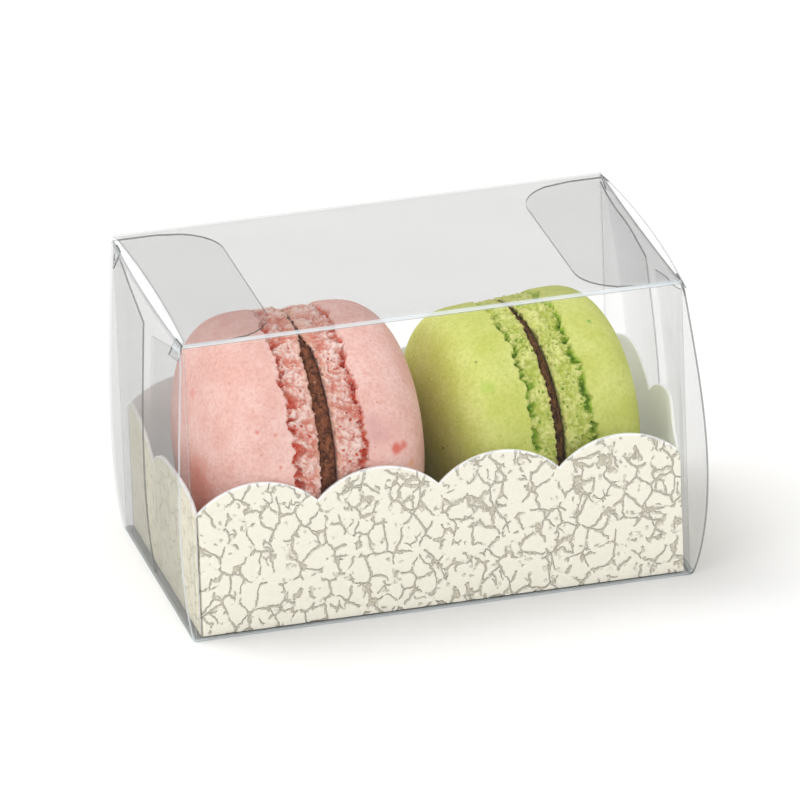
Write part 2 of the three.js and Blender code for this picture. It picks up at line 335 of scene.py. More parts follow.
@dataclass(frozen=True)
class Crackle:
    """The vein network embossed in the card, the same in its relief and in its colour.

    Args:
        cell: Distance between veins, in millimetres.
        upright: How many times further apart they are upwards than sideways.
        wander: How far the veins stray in their wide bends.
        wander_size: Distance between the wide bends.
        kink: How far they stray in their bends.
        kink_size: Distance between bends.
        jag: How far they stray in their smallest bends.
        jag_size: Distance between the smallest bends.
        ragged: How much a vein's width changes along it.
        ragged_size: Distance between those changes.
        vein: Half a vein's width.
        fine_cell: Distance between the finer veins.
        fine_vein: Half a finer vein's width.
        fade: How far in and out a vein's edge fades, as a share of its half width.
        veined: Where the veins are not left out.
        fine_veined: Where the finer veins are not left out.
        dot_spacing: Distance between loose dots.
        dot: A dot's radius.
        dot_chance: The random numbers below and above which a dot is missing and full.
        dot_strength: How deep a dot is, as a share of a vein.
    """

    cell: float = 3.0
    upright: float = 1.2
    wander: float = 0.9
    wander_size: float = 3.6
    kink: float = 0.46
    kink_size: float = 1.3
    jag: float = 0.17
    jag_size: float = 0.5
    ragged: float = 0.11
    ragged_size: float = 0.45
    vein: float = 0.054
    fine_cell: float = 2.1
    fine_vein: float = 0.042
    fade: float = 0.4
    veined: Patches = Patches(2.2, 2.0, 0.5, 0.41, 0.48)
    fine_veined: Patches = Patches(3.3, 2.0, 0.5, 0.56, 0.62)
    dot_spacing: float = 1.2
    dot: float = 0.13
    dot_chance: tuple[float, float] = (0.66, 0.7)
    dot_strength: float = 0.8

    def strength(self, graph: Graph, place: Socket, widen: float = 1.0) -> Socket:
        """How much of a vein lies at a place.

        Args:
            graph: The shader or geometry tree.
            place: Position in the carton's frame.
            widen: How many times wider than its line the vein is drawn.

        Returns:
            1 in the middle of a vein and 0 between veins.
        """
        bent = self.strayed(graph, place, self.wander_size, self.wander)
        bent = self.strayed(graph, bent, self.kink_size, self.kink)
        bent = self.strayed(graph, bent, self.jag_size, self.jag)
        bent = graph.vector("MULTIPLY", bent, (1.0, 1.0, 1.0 / self.upright))
        frayed = graph.product(graph.swing(place, self.ragged_size), self.ragged)
        coarse = self.lines(graph, bent, self.cell, self.vein * widen, frayed)
        fine = self.lines(graph, bent, self.fine_cell, self.fine_vein * widen, frayed)
        veins = graph.math("MAXIMUM", graph.product(coarse, self.veined.share(graph, place)),
                           graph.product(fine, self.fine_veined.share(graph, place)))
        size = self.dot * widen / self.dot_spacing
        dots = Dots(self.dot_spacing, size, size / 2, *self.dot_chance, self.dot_strength)
        return graph.math("MAXIMUM", veins, dots.share(graph, bent))

    def strayed(self, graph: Graph, place: Socket, size: float, reach: float) -> Socket:
        """A place moved by soft noise of that size, by up to about reach."""
        stray = graph.vector("SUBTRACT", graph.scatter(place, size), (0.5, 0.5, 0.5))
        return graph.vector("ADD", place, graph.vector("SCALE", stray, 2 * reach / graph.unit))

    def lines(self, graph: Graph, place: Socket, cell: float, half_width: float,
              frayed: Socket) -> Socket:
        """The lines where cells of one size meet, narrowed by frayed in millimetres."""
        edge = graph.total(graph.product(graph.cell_edges(place, cell), cell), frayed)
        return graph.ease(edge, half_width * (1 + self.fade), half_width * (1 - self.fade))


@dataclass(frozen=True)
class Surface:
    """A new material with its tree open for a finish to fill."""

    name: str

    def open(self) -> tuple[bpy.types.Material, Graph, bpy.types.Node, Socket]:
        """Makes the material.

        Returns:
            The material, its graph, its principled shader and the object coordinates.
        """
        material = bpy.data.materials.new(self.name)
        material.use_nodes = True
        graph = Graph(material.node_tree, 1.0 / MM)
        shader = material.node_tree.nodes["Principled BSDF"]
        place = graph.node("ShaderNodeTexCoord").outputs["Object"]
        return material, graph, shader, place


def add_bump(graph: Graph, shader: bpy.types.Node, height: Socket, depth: float) -> None:
    """Gives a shader a fine relief.

    Args:
        graph: The material's graph.
        shader: The shader that gets it.
        height: The relief, 0 to 1.
        depth: How deep 1 is, in millimetres.
    """
    bump = graph.node("ShaderNodeBump")
    graph.fill(bump, {"Distance": depth * MM, "Height": height})
    graph.feed(shader.inputs["Normal"], bump.outputs["Normal"])


@dataclass(frozen=True)
class FilmFinish:
    """Clear film: it passes light straight through, and dims and mirrors more at a glancing angle.

    Args:
        name: The material's name.
        glancing_pass: What it still passes at a glancing angle, as a share of straight_pass.
        straight_pass: What it passes straight on.
        pass_power: How late it dims as the angle grows.
        straight_mirror: What it mirrors straight on.
        glancing_mirror: What it mirrors more at a glancing angle.
        mirror_power: How late it mirrors more as the angle grows.
        mirror_colour: The colour of what it mirrors.
        roughness: How blurred that is.
    """

    name: str
    glancing_pass: float
    straight_pass: Colour = (0.99, 0.991, 0.991)
    pass_power: float = 2.0
    straight_mirror: float = 0.013
    glancing_mirror: float = 0.14
    mirror_power: float = 3.0
    mirror_colour: Colour = (0.54, 0.55, 0.55)
    roughness: float = 0.07

    def build(self) -> bpy.types.Material:
        """Makes the material."""
        material, graph, shader, _ = Surface(self.name).open()
        graph.fill(shader, {
            "Base Color": (*self.mirror_colour, 1.0),
            "Metallic": 1.0,
            "Roughness": self.roughness,
        })
        facing = graph.node("ShaderNodeLayerWeight").outputs["Facing"]
        dimmed = tuple(channel * self.glancing_pass for channel in self.straight_pass)
        angle = graph.math("POWER", facing, self.pass_power)
        passed = graph.tint(angle, self.straight_pass, dimmed)
        clear = graph.fill(graph.node("ShaderNodeBsdfTransparent"), {"Color": passed})
        glancing = graph.math("POWER", facing, self.mirror_power)
        share = graph.math("MULTIPLY_ADD", glancing, self.glancing_mirror, self.straight_mirror)
        mixed = graph.node("ShaderNodeMixShader")
        graph.feed(mixed.inputs[0], share)
        graph.feed(mixed.inputs[1], clear.outputs[0])
        graph.feed(mixed.inputs[2], shader.outputs[0])
        output = material.node_tree.nodes["Material Output"]
        graph.feed(output.inputs["Surface"], mixed.outputs[0])
        return material


@dataclass(frozen=True)
class FilmLineFinish:
    """A crease, a cut edge or a painted reflection on the film, each less clear than its panels.

    Args:
        name: The material's name.
        colour: Its lightest colour.
        alpha: How much of what lies behind it hides.
        roughness: How blurred its shine is.
        darkest: Its darkest shade, as a share of the colour.
        shade_size: Distance between darker stretches, in millimetres.
    """

    name: str
    colour: Colour
    alpha: float
    roughness: float = 0.25
    darkest: float = 0.8
    shade_size: float = 5.0

    def build(self) -> bpy.types.Material:
        """Makes the material."""
        material, graph, shader, place = Surface(self.name).open()
        shade = graph.noise(place, self.shade_size, 1.0)
        darker = tuple(channel * self.darkest for channel in self.colour)
        graph.fill(shader, {
            "Base Color": graph.tint(shade, self.colour, darker),
            "Roughness": self.roughness,
            "Alpha": self.alpha,
        })
        return material


@dataclass(frozen=True)
class CardFinish:
    """The tray's outside: cream card with embossed crackle, white towards its cut edge.

    Args:
        name: The material's name.
        cream: The card's lightest colour.
        warm: Its deepest colour.
        end_cream: Painted shade: the darker, yellower cream that the end walls take where the crackle
            is faint.
        vein: The veins' colour.
        vein_share: How much of that colour a vein takes.
        soft_widen: How many times wider than a vein the soft shadow beside it is.
        soft_share: How much of the veins' colour the shadow takes.
        painted_edge_shadow: Painted shadow of the gap at a wall's left corner, the colour along its
            left edge.
        edge_shadow_reach: Where that painted shadow begins and is full, in millimetres from the edge.
        edge_shadow_share: How much of it shows.
        white: The colour of the rim.
        white_rim: How wide the white rim is, in millimetres.
        roughness: How matt the card is.
        grain: How high the card's fine grain is, as a share of the relief.
        soft_groove: How deep the soft part of a vein is, in the same way.
        groove: How much deeper its middle is.
        relief: How deep 1 is, in millimetres.
    """

    name: str = "crackle card"
    cream: Colour = display_colour(247, 243, 228)
    warm: Colour = display_colour(239, 234, 217)
    end_cream: Colour = display_colour(241, 233, 204)
    vein: Colour = display_colour(174, 159, 128)
    vein_share: float = 0.5
    soft_widen: float = 2.5
    soft_share: float = 0.12
    painted_edge_shadow: Colour = display_colour(126, 118, 96)
    edge_shadow_reach: tuple[float, float] = (0.45, 0.15)
    edge_shadow_share: float = 0.85
    white: Colour = display_colour(252, 252, 250)
    white_rim: float = 0.38
    roughness: float = 0.62
    grain: float = 0.25
    soft_groove: float = 0.7
    groove: float = 0.5
    relief: float = 0.3

    def build(self) -> bpy.types.Material:
        """Makes the material."""
        material, graph, shader, place = Surface(self.name).open()
        share = graph.mark("crackle")
        veins = graph.product(Crackle().strength(graph, place), share)
        soft_veins = graph.product(Crackle().strength(graph, place, self.soft_widen), share)
        mottled = graph.tint(graph.noise(place, 1.1, 5.0, 0.7), self.cream, self.warm)
        # Painted shade: the end walls, whose crackle is faint, take the darker end_cream.
        end_shaded = graph.tint(share, self.end_cream, mottled)
        shadowed = graph.tint(graph.product(soft_veins, self.soft_share), end_shaded, self.vein)
        veined = graph.tint(graph.product(veins, self.vein_share), shadowed, self.vein)
        # Painted shadow: a dark line along each wall's left edge, standing in for the shaded gap at
        # the corner.
        edge_shadow = graph.ease(graph.mark("from_left"), *self.edge_shadow_reach)
        edge_shaded = graph.tint(graph.product(edge_shadow, self.edge_shadow_share), veined, self.painted_edge_shadow)
        at_rim = graph.ease(graph.mark("from_rim"), self.white_rim, self.white_rim * 0.6)
        graph.fill(shader, {
            "Base Color": graph.tint(at_rim, edge_shaded, self.white),
            "Roughness": self.roughness,
        })
        grain = graph.product(graph.noise(place, 0.35), self.grain)
        soft_groove = graph.product(soft_veins, self.soft_groove)
        groove = graph.total(soft_groove, graph.product(veins, self.groove))
        add_bump(graph, shader, graph.math("SUBTRACT", grain, groove), self.relief)
        return material


@dataclass(frozen=True)
class PlainCardFinish:
    """The tray's white inside and its cut edges.

    Args:
        name: The material's name.
        white: The card's lightest colour.
        grey: The colour of its fibres.
        roughness: How matt it is.
        glow: How much of the light spreads inside the card.
        glow_reach: How far it spreads, in millimetres.
        relief: How deep the fine grain is, in millimetres.
    """

    name: str = "plain card"
    white: Colour = display_colour(247, 247, 242)
    grey: Colour = display_colour(240, 240, 232)
    roughness: float = 0.7
    glow: float = 0.85
    glow_reach: float = 2.5
    relief: float = 0.02

    def build(self) -> bpy.types.Material:
        """Makes the material."""
        material, graph, shader, place = Surface(self.name).open()
        fibres = graph.noise(place, 1.2, 4.0, 0.6)
        graph.fill(shader, {
            "Base Color": graph.tint(fibres, self.white, self.grey),
            "Roughness": self.roughness,
            "Subsurface Weight": self.glow,
            "Subsurface Radius": (1.0, 1.0, 1.0),
            "Subsurface Scale": self.glow_reach * MM,
        })
        add_bump(graph, shader, graph.noise(place, 0.3), self.relief)
        return material


@dataclass(frozen=True)
class Spot:
    """A single coloured spot on a dome.

    Args:
        middle: Its middle in the frame, in millimetres.
        radius: Its usual radius.
        colour: Its colour.
        strength: How much of that colour shows in its middle.
        ragged: How far its edge strays, as a share of the radius.
        core: How much of the radius is at full strength.
    """

    middle: tuple[float, float, float]
    radius: float
    colour: Colour
    strength: float
    ragged: float = 0.7
    core: float = 0.2

    def share(self, graph: Graph, place: Socket) -> Socket:
        """How much of the spot lies at a place."""
        middle = tuple(number / graph.unit for number in self.middle)
        away = graph.product(graph.vector("DISTANCE", place, middle), graph.unit)
        bends = graph.swing(place, 1.2, 3.0)
        strayed = graph.math("MULTIPLY_ADD", bends, self.radius * self.ragged, away)
        inside = graph.ease(strayed, self.radius, self.radius * self.core)
        return graph.product(inside, self.strength)


@dataclass(frozen=True)
class MeringueFinish:
    """Baked almond meringue: a finely freckled dome, and a paler crumbly foot with deep pits.

    Mottle, freckling, freckles and blotches lie on the dome. Specks and shaded_pinholes lie on the
    foot;
    the shaded_pinholes are pores painted in the crevice's shade. Rim_patches say where the rim at the
    filling has its own colour, and pit_patches how much depth counts for the crevice's painted shade:
    it grows darker and more saturated with depth, partly the meringue's own deeper colour, partly
    painted shade and painted light bounced and passed through the meringue. The relief is in
    millimetres, and a grain is its share.
    """

    name: str
    dome_light: Colour
    dome_deep: Colour
    freckle: Colour
    blotch: Colour
    foot_light: Colour
    foot_deep_tone_and_shade: Colour
    rim: Colour
    pit_colour_and_shade: Colour
    deep_pit_colour_and_shade: Colour
    spots: tuple[Spot, ...] = ()
    mottle: Patches = Patches(6.0, 4.0, 0.6, 0.3, 0.7)
    freckling: Patches = Patches(0.6, 4.0, 0.8, 0.44, 0.62, end=0.38)
    freckles: Dots = Dots(1.3, 0.2, 0.08, 0.4, 0.9, strength=0.75)
    blotches: Dots = Dots(3.2, 0.16, 0.05, 0.7, 0.95, strength=0.7, ragged=0.1)
    specks: Dots = Dots(1.7, 0.4, 0.1, 0.75, 0.9, strength=0.4)
    shaded_pinholes: Dots = Dots(0.75, 0.34, 0.14, 0.55, 0.8, strength=0.45)
    rim_patches: Patches = Patches(1.5, 2.0, 0.5, 0.3, 0.6, end=0.8)
    pit_patches: Patches = Patches(0.6, 3.0, 0.7, 0.3, 0.7, start=0.55, end=1.4)
    roughness: float = 0.78
    shine: float = 0.3
    dome_grain: float = 0.7
    foot_grain: float = 1.5
    relief: float = 0.26

    def build(self) -> bpy.types.Material:
        """Makes the material."""
        material, graph, shader, place = Surface(self.name).open()
        foot = graph.mark("foot")
        crumb = self.foot_colour(graph, place, graph.mark("relief"))
        whole = graph.tint(graph.ease(foot, 0.2, 0.8), self.dome_colour(graph, place), crumb)
        # Painted shade: pits grow darker and more saturated with depth, partly their own deeper
        # colour, partly shade and light bounced and passed through the meringue.
        depth = graph.product(graph.mark("cavity"), self.pit_patches.share(graph, place))
        pit_shaded = graph.tint(graph.ease(depth, 0.08, 0.45), whole, self.pit_colour_and_shade)
        graph.fill(shader, {
            "Base Color": graph.tint(graph.ease(depth, 0.45, 0.9), pit_shaded, self.deep_pit_colour_and_shade),
            "Roughness": self.roughness,
            "Specular IOR Level": self.shine,
        })
        fine_grain = graph.product(graph.noise(place, 0.25), 0.4)
        grain = graph.total(graph.noise(place, 0.8, 4.0, 0.7), fine_grain)
        strength = graph.mix(foot, self.dome_grain, self.foot_grain)
        add_bump(graph, shader, graph.product(grain, strength), self.relief)
        return material

    def dome_colour(self, graph: Graph, place: Socket) -> Socket:
        """The dome's colour, mottled and freckled."""
        base = graph.tint(self.mottle.share(graph, place), self.dome_light, self.dome_deep)
        base = graph.tint(self.freckling.share(graph, place), base, self.freckle)
        base = graph.tint(self.freckles.share(graph, place), base, self.freckle)
        base = graph.tint(self.blotches.share(graph, place), base, self.blotch)
        for spot in self.spots:
            base = graph.tint(spot.share(graph, place), base, spot.colour)
        return base

    def foot_colour(self, graph: Graph, place: Socket, relief: Socket) -> Socket:
        """The foot's colour: painted light on its rising lumps and painted shade where they sink, with
        random tone, warmer crumbs and pores painted in the crevice's shade.
        """
        # Painted shade and light: the foot is darker where its lumps sink and paler where they rise,
        # with random tone from the noise.
        uneven = graph.total(relief, graph.product(graph.swing(place, 1.6, 4.0), 0.3),
                             graph.product(graph.swing(place, 0.45, 3.0), 0.2))
        base = graph.tint(graph.ease(uneven, 0.3, -0.35), self.foot_light, self.foot_deep_tone_and_shade)
        base = graph.tint(self.specks.share(graph, place), base, self.blotch)
        # Painted shade: tiny pores drawn as dots in the crevice's shaded colour, with no hole in the
        # mesh.
        base = graph.tint(self.shaded_pinholes.share(graph, place), base, self.pit_colour_and_shade)
        at_rim = graph.product(graph.mark("rim"), self.rim_patches.share(graph, place))
        return graph.tint(at_rim, base, self.rim)


@dataclass(frozen=True)
class FillingFinish:
    """Soft chocolate cream, rough where it was piped, with a few pale crumbs.

    Args:
        name: The material's name.
        light: The cream's lightest colour.
        deep: Its deepest colour.
        crumb: The colour of the crumbs.
        mottle: Where it is light.
        crumbs: Where the crumbs lie.
        roughness: How matt it is.
        shine: How strong its shine is.
        relief: How deep its fine relief is, in millimetres.
    """

    name: str
    light: Colour
    deep: Colour
    crumb: Colour = display_colour(205, 165, 140)
    mottle: Patches = Patches(0.9, 5.0, 0.75, 0.36, 0.66)
    crumbs: Dots = Dots(1.5, 0.2, 0.08, 0.8, 0.9)
    roughness: float = 0.75
    shine: float = 0.2
    relief: float = 0.25

    def build(self) -> bpy.types.Material:
        """Makes the material."""
        material, graph, shader, place = Surface(self.name).open()
        base = graph.tint(self.mottle.share(graph, place), self.deep, self.light)
        graph.fill(shader, {
            "Base Color": graph.tint(self.crumbs.share(graph, place), base, self.crumb),
            "Roughness": self.roughness,
            "Specular IOR Level": self.shine,
        })
        add_bump(graph, shader, graph.noise(place, 0.5, 3.0, 0.6), self.relief)
        return material


PINK_FINISH = MeringueFinish(
    name="pink meringue",
    dome_light=display_colour(240, 202, 193),
    dome_deep=display_colour(230, 180, 169),
    freckle=display_colour(210, 138, 124),
    blotch=display_colour(216, 118, 98),
    foot_light=display_colour(246, 216, 206),
    foot_deep_tone_and_shade=display_colour(216, 134, 116),
    rim=display_colour(228, 176, 150),
    pit_colour_and_shade=display_colour(236, 138, 116),
    deep_pit_colour_and_shade=display_colour(218, 92, 70),
    spots=(
        Spot((-7.0, -20.85, 26.75), 1.3, display_colour(214, 92, 76), 0.85),
        Spot((-5.7, -20.5, 27.1), 1.05, display_colour(214, 92, 76), 0.75),
        Spot((-4.44, -19.94, 23.79), 0.9, display_colour(226, 160, 100), 0.6),
        Spot((-10.13, -20.5, 30.06), 3.6, display_colour(206, 156, 156), 0.5),
        Spot((-35.73, -5.41, 33.67), 1.3, display_colour(222, 118, 112), 0.5),
        # Painted shade and reflected light: a darker, more saturated patch low on the front of the
        # left dome.
        Spot((-36.32, -10.67, 19.79), 7.5, display_colour(232, 140, 118), 0.6),
    ),
)
GREEN_FINISH = MeringueFinish(
    name="green meringue",
    dome_light=display_colour(212, 216, 128),
    dome_deep=display_colour(198, 204, 102),
    freckle=display_colour(168, 178, 72),
    blotch=display_colour(176, 190, 66),
    foot_light=display_colour(226, 228, 144),
    foot_deep_tone_and_shade=display_colour(184, 196, 84),
    rim=display_colour(212, 208, 124),
    pit_colour_and_shade=display_colour(172, 204, 66),
    deep_pit_colour_and_shade=display_colour(126, 168, 46),
    spots=(
        Spot((28.32, -5.93, 37.51), 0.5, display_colour(112, 176, 70), 0.8),
        Spot((9.37, -14.45, 32.33), 1.5, display_colour(170, 200, 80), 0.5),
        Spot((8.6, -11.0, 35.3), 0.3, display_colour(112, 112, 40), 0.8),
        Spot((3.46, -8.25, 20.31), 0.35, display_colour(90, 80, 24), 0.8),
    ),
)
MILK_CREAM = FillingFinish(
    name="milk chocolate cream",
    light=display_colour(148, 88, 58),
    deep=display_colour(62, 30, 14),
)
DARK_CREAM = FillingFinish(
    name="dark chocolate cream",
    light=display_colour(114, 76, 38),
    deep=display_colour(46, 28, 10),
)


@dataclass
class Block:
    """Points and faces in millimetres, to be made into one mesh.

    Args:
        points: One row of three numbers for each point.
        faces: Corner indexes of each face.
        finishes: Which of the piece's finishes each face takes.
        marks: Numbers stored on the points, by name.
    """

    points: np.ndarray
    faces: list[tuple[int, ...]]
    finishes: list[int]
    marks: dict[str, np.ndarray] = field(default_factory=dict)

    def outward(self) -> "Block":
        """Turns every face the other way if the body is inside out."""
        corners = np.array([(*face, face[-1])[:4] for face in self.faces])
        a, b, c, d = (self.points[corners[:, index]] for index in range(4))
        volume = np.sum(a * np.cross(b, c)) + np.sum(a * np.cross(c, d))
        if volume < 0:
            self.faces = [tuple(reversed(face)) for face in self.faces]
        return self

    def joined(self, other: "Block") -> "Block":
        """This block and another as one."""
        start = len(self.points)
        moved = [tuple(corner + start for corner in face) for face in other.faces]
        points = np.vstack([self.points, other.points])
        return Block(points, self.faces + moved, self.finishes + other.finishes)

    def mesh(self, name: str, materials: Sequence[bpy.types.Material],
             smooth: bool = True) -> bpy.types.Object:
        """Makes the object, with its points still in millimetres.

        Args:
            name: The object's name.
            materials: The finishes that the faces name.
            smooth: Whether the faces are shaded smooth.

        Returns:
            The new object, linked to the scene.
        """
        data = bpy.data.meshes.new(name)
        data.from_pydata(self.points.tolist(), [], self.faces)
        for material in materials:
            data.materials.append(material)
        data.polygons.foreach_set("material_index", self.finishes)
        data.polygons.foreach_set("use_smooth", [smooth] * len(self.faces))
        for mark, values in self.marks.items():
            layer = data.attributes.new(mark, "FLOAT", "POINT")
            layer.data.foreach_set("value", values.astype(np.float32))
        data.update()
        made = bpy.data.objects.new(name, data)
        bpy.context.scene.collection.objects.link(made)
        return made


def grid_faces(rows: int, columns: int, wrap: bool = False) -> list[tuple[int, int, int, int]]:
    """Faces between neighbouring points of a grid stored row by row.

    Args:
        rows: How many rows of points.
        columns: How many points in a row.
        wrap: Whether the last point of a row meets its first.

    Returns:
        The four corners of each face.
    """
    last = columns if wrap else columns - 1
    faces = []
    for row in range(rows - 1):
        for column in range(last):
            beside = (column + 1) % columns
            here = row * columns
            above = here + columns
            faces.append((here + column, here + beside, above + beside, above + column))
    return faces


def surface_normals(points: np.ndarray) -> np.ndarray:
    """Unit normals of a grid of points, rows by columns by three."""
    down = np.gradient(points, axis=0)
    along = np.gradient(points, axis=1)
    normals = np.cross(along, down)
    return normals / np.linalg.norm(normals, axis=2, keepdims=True)


def evaluated(scratch: bpy.types.Object, name: str) -> bpy.types.Object:
    """Turns an object with a live Geometry Nodes modifier into a plain mesh object.

    Args:
        scratch: The object to read, which is removed.
        name: The new object's name.

    Returns:
        A new object with the result and no modifier.
    """
    graph = bpy.context.evaluated_depsgraph_get()
    graph.update()
    data = bpy.data.meshes.new_from_object(scratch.evaluated_get(graph))
    bpy.data.objects.remove(scratch)
    data.name = name
    made = bpy.data.objects.new(name, data)
    bpy.context.scene.collection.objects.link(made)
    return made


def settle(piece: bpy.types.Object, slot: Slot, node: str, place: Matrix = Matrix()) -> None:
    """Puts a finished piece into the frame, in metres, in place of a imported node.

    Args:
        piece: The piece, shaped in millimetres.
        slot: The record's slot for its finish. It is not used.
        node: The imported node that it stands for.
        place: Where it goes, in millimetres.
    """
    piece.data.transform(Matrix.Scale(MM, 4) @ place)
    piece.data.update()
    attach(piece, "root")
    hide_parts(node)
    LOG.info("%s: %d faces, stands for %s", piece.name, len(piece.data.polygons), node)


@dataclass
class NodeTool:
    """A Geometry Nodes tree with named inputs, for one kind of shape."""

    name: str
    group: bpy.types.NodeTree = field(init=False)
    graph: Graph = field(init=False)
    entry: bpy.types.Node = field(init=False)
    identifiers: dict[str, str] = field(init=False, default_factory=dict)

    def __post_init__(self) -> None:
        """Opens the tree, which works in millimetres."""
        self.group = bpy.data.node_groups.new(self.name, "GeometryNodeTree")
        self.group.interface.new_socket("Geometry", in_out="INPUT", socket_type="NodeSocketGeometry")
        self.group.interface.new_socket("Geometry", in_out="OUTPUT", socket_type="NodeSocketGeometry")
        self.graph = Graph(self.group, 1.0)
        self.entry = self.graph.node("NodeGroupInput")

    def ask(self, name: str, kind: str = "Float") -> Socket:
        """Adds a named input and gives its socket inside the tree."""
        made = self.group.interface.new_socket(name, in_out="INPUT", socket_type=f"NodeSocket{kind}")
        self.identifiers[name] = made.identifier
        return self.entry.outputs[name]

    def read(self, mark: str) -> Socket:
        """A number stored on the points."""
        made = self.graph.node("GeometryNodeInputNamedAttribute", data_type="FLOAT")
        return self.graph.fill(made, {"Name": mark}).outputs["Attribute"]

    def position(self) -> Socket:
        """Where each point is."""
        return self.graph.node("GeometryNodeInputPosition").outputs["Position"]

    def step(self, kind: str, geometry: Socket, inputs: dict[str, object],
             **settings: object) -> Socket:
        """The geometry after one more node of that kind."""
        made = self.graph.node(kind, **settings)
        return self.graph.fill(made, {"Geometry": geometry, **inputs}).outputs["Geometry"]

    def store(self, geometry: Socket, mark: str, value: Number) -> Socket:
        """Stores a number on the points under that name."""
        return self.step("GeometryNodeStoreNamedAttribute", geometry, {"Name": mark, "Value": value},
                         data_type="FLOAT", domain="POINT")

    def place(self, geometry: Socket, position: Socket) -> Socket:
        """Moves the points to a position."""
        return self.step("GeometryNodeSetPosition", geometry, {"Position": position})

    def paint(self, geometry: Socket, material: Socket, selection: object = None) -> Socket:
        """Gives the selected faces a material."""
        inputs = {"Selection": selection, "Material": material}
        return self.step("GeometryNodeSetMaterial", geometry, inputs)

    def realized(self, geometry: Socket) -> Socket:
        """Turns the tree's instances into real mesh."""
        return self.step("GeometryNodeRealizeInstances", geometry, {})

    def close(self, geometry: Socket) -> None:
        """Makes the geometry real mesh and joins it to the tree's output."""
        self.graph.fill(self.graph.node("NodeGroupOutput"), {"Geometry": self.realized(geometry)})

    def apply(self, target: bpy.types.Object, name: str, **values: object) -> bpy.types.Object:
        """Runs the tree on an object.

        Args:
            target: The object that the tree starts from, which is removed.
            name: The result's name.
            values: The inputs, with spaces in their names as underscores.

        Returns:
            A plain mesh object.
        """
        modifier = target.modifiers.new(self.name, "NODES")
        modifier.node_group = self.group
        for key, value in values.items():
            modifier[self.identifiers[key.replace("_", " ")]] = value
        return evaluated(target, name)


@dataclass(frozen=True)
class Bow:
    """How far an upright film panel stands out of its plane.

    Args:
        bow: The bow from bottom to top.
        belly: What the middle of the panel adds to it.
        height: The panel's height.
        peak: Where the bow is largest, as a share of the height.
        half_depth: Half the panel's width.
        rise: How far up the belly has grown to its full size.
    """

    bow: float
    belly: float
    height: float = 49.6
    peak: float = 0.37
    half_depth: float = 24.0
    rise: float = 12.0

    def at(self, y: np.ndarray, z: np.ndarray) -> np.ndarray:
        """The bow at places across the panel and heights."""
        power = math.log(0.5) / math.log(self.peak)
        up = np.clip(z / self.height, 0.0, 1.0)
        across = 1.0 - (y / self.half_depth) ** 2
        belly = self.belly * across * smooth_step(z / self.rise)
        return self.bow * np.sin(np.pi * up ** power) + belly

    def furthest(self) -> float:
        """The largest bow, in the middle of the panel."""
        return float(self.at(np.array(0.0), np.array(self.peak * self.height)))


@dataclass(frozen=True)
class CartonEnd:
    """What differs between the carton's two ends.

    Args:
        side: Which end it is.
        closure: The closure's bow.
        dust_flap: The dust flaps' bow.
        tuck_inner_edge: How far from the carton's middle the tuck flap's free edge is.
        top_edge_corner: How far out the top panel's end edge is at its corners.
        top_edge_middle: How far out it is in its middle.
        tray_lean: How far the tray's end wall leans out.
        tray_lift: How much higher than the long walls it stands.
        glancing_pass: What the film passes at a glancing angle. The left end's lower value is painted
            shade, a darker copy of the same film.
        back_ear: How far from the back corner the crumpled shoulder begins.
        front_ear: How far from the front corner the other one begins.
    """

    side: Side
    closure: Bow
    dust_flap: Bow
    tuck_inner_edge: float
    top_edge_corner: float
    top_edge_middle: float
    tray_lean: float
    tray_lift: float
    glancing_pass: float
    back_ear: float
    front_ear: float


# Painted shade: the left end's film passes less at a glancing angle than the right end's, a darker
# copy of the same film.
LEFT_END = CartonEnd(Side.LEFT, Bow(1.45, 0.6), Bow(1.4, 0.0), 24.2, 39.4, 38.7,
                     tray_lean=1.5, tray_lift=0.0, glancing_pass=0.8, back_ear=3.0, front_ear=0.8)
RIGHT_END = CartonEnd(Side.RIGHT, Bow(3.1, 1.1), Bow(2.2, 0.95), 25.1, 39.6, 39.35,
                      tray_lean=1.9, tray_lift=0.8, glancing_pass=0.93, back_ear=0.0, front_ear=0.4)
ENDS = (LEFT_END, RIGHT_END)
PACK_SHIFT = (LEFT_END.closure.furthest() - RIGHT_END.closure.furthest()) / 2
IN_PACK = Matrix.Translation((PACK_SHIFT, 0.0, 0.0))


class FilmPart(IntEnum):
    """The finishes on the film, in the order of its pieces' material slots."""

    PANEL = 0
    CREASE = 1
    CUT = 2
    FOLD = 3
    PAINTED_REFLECTION = 4
    FLAP = 5


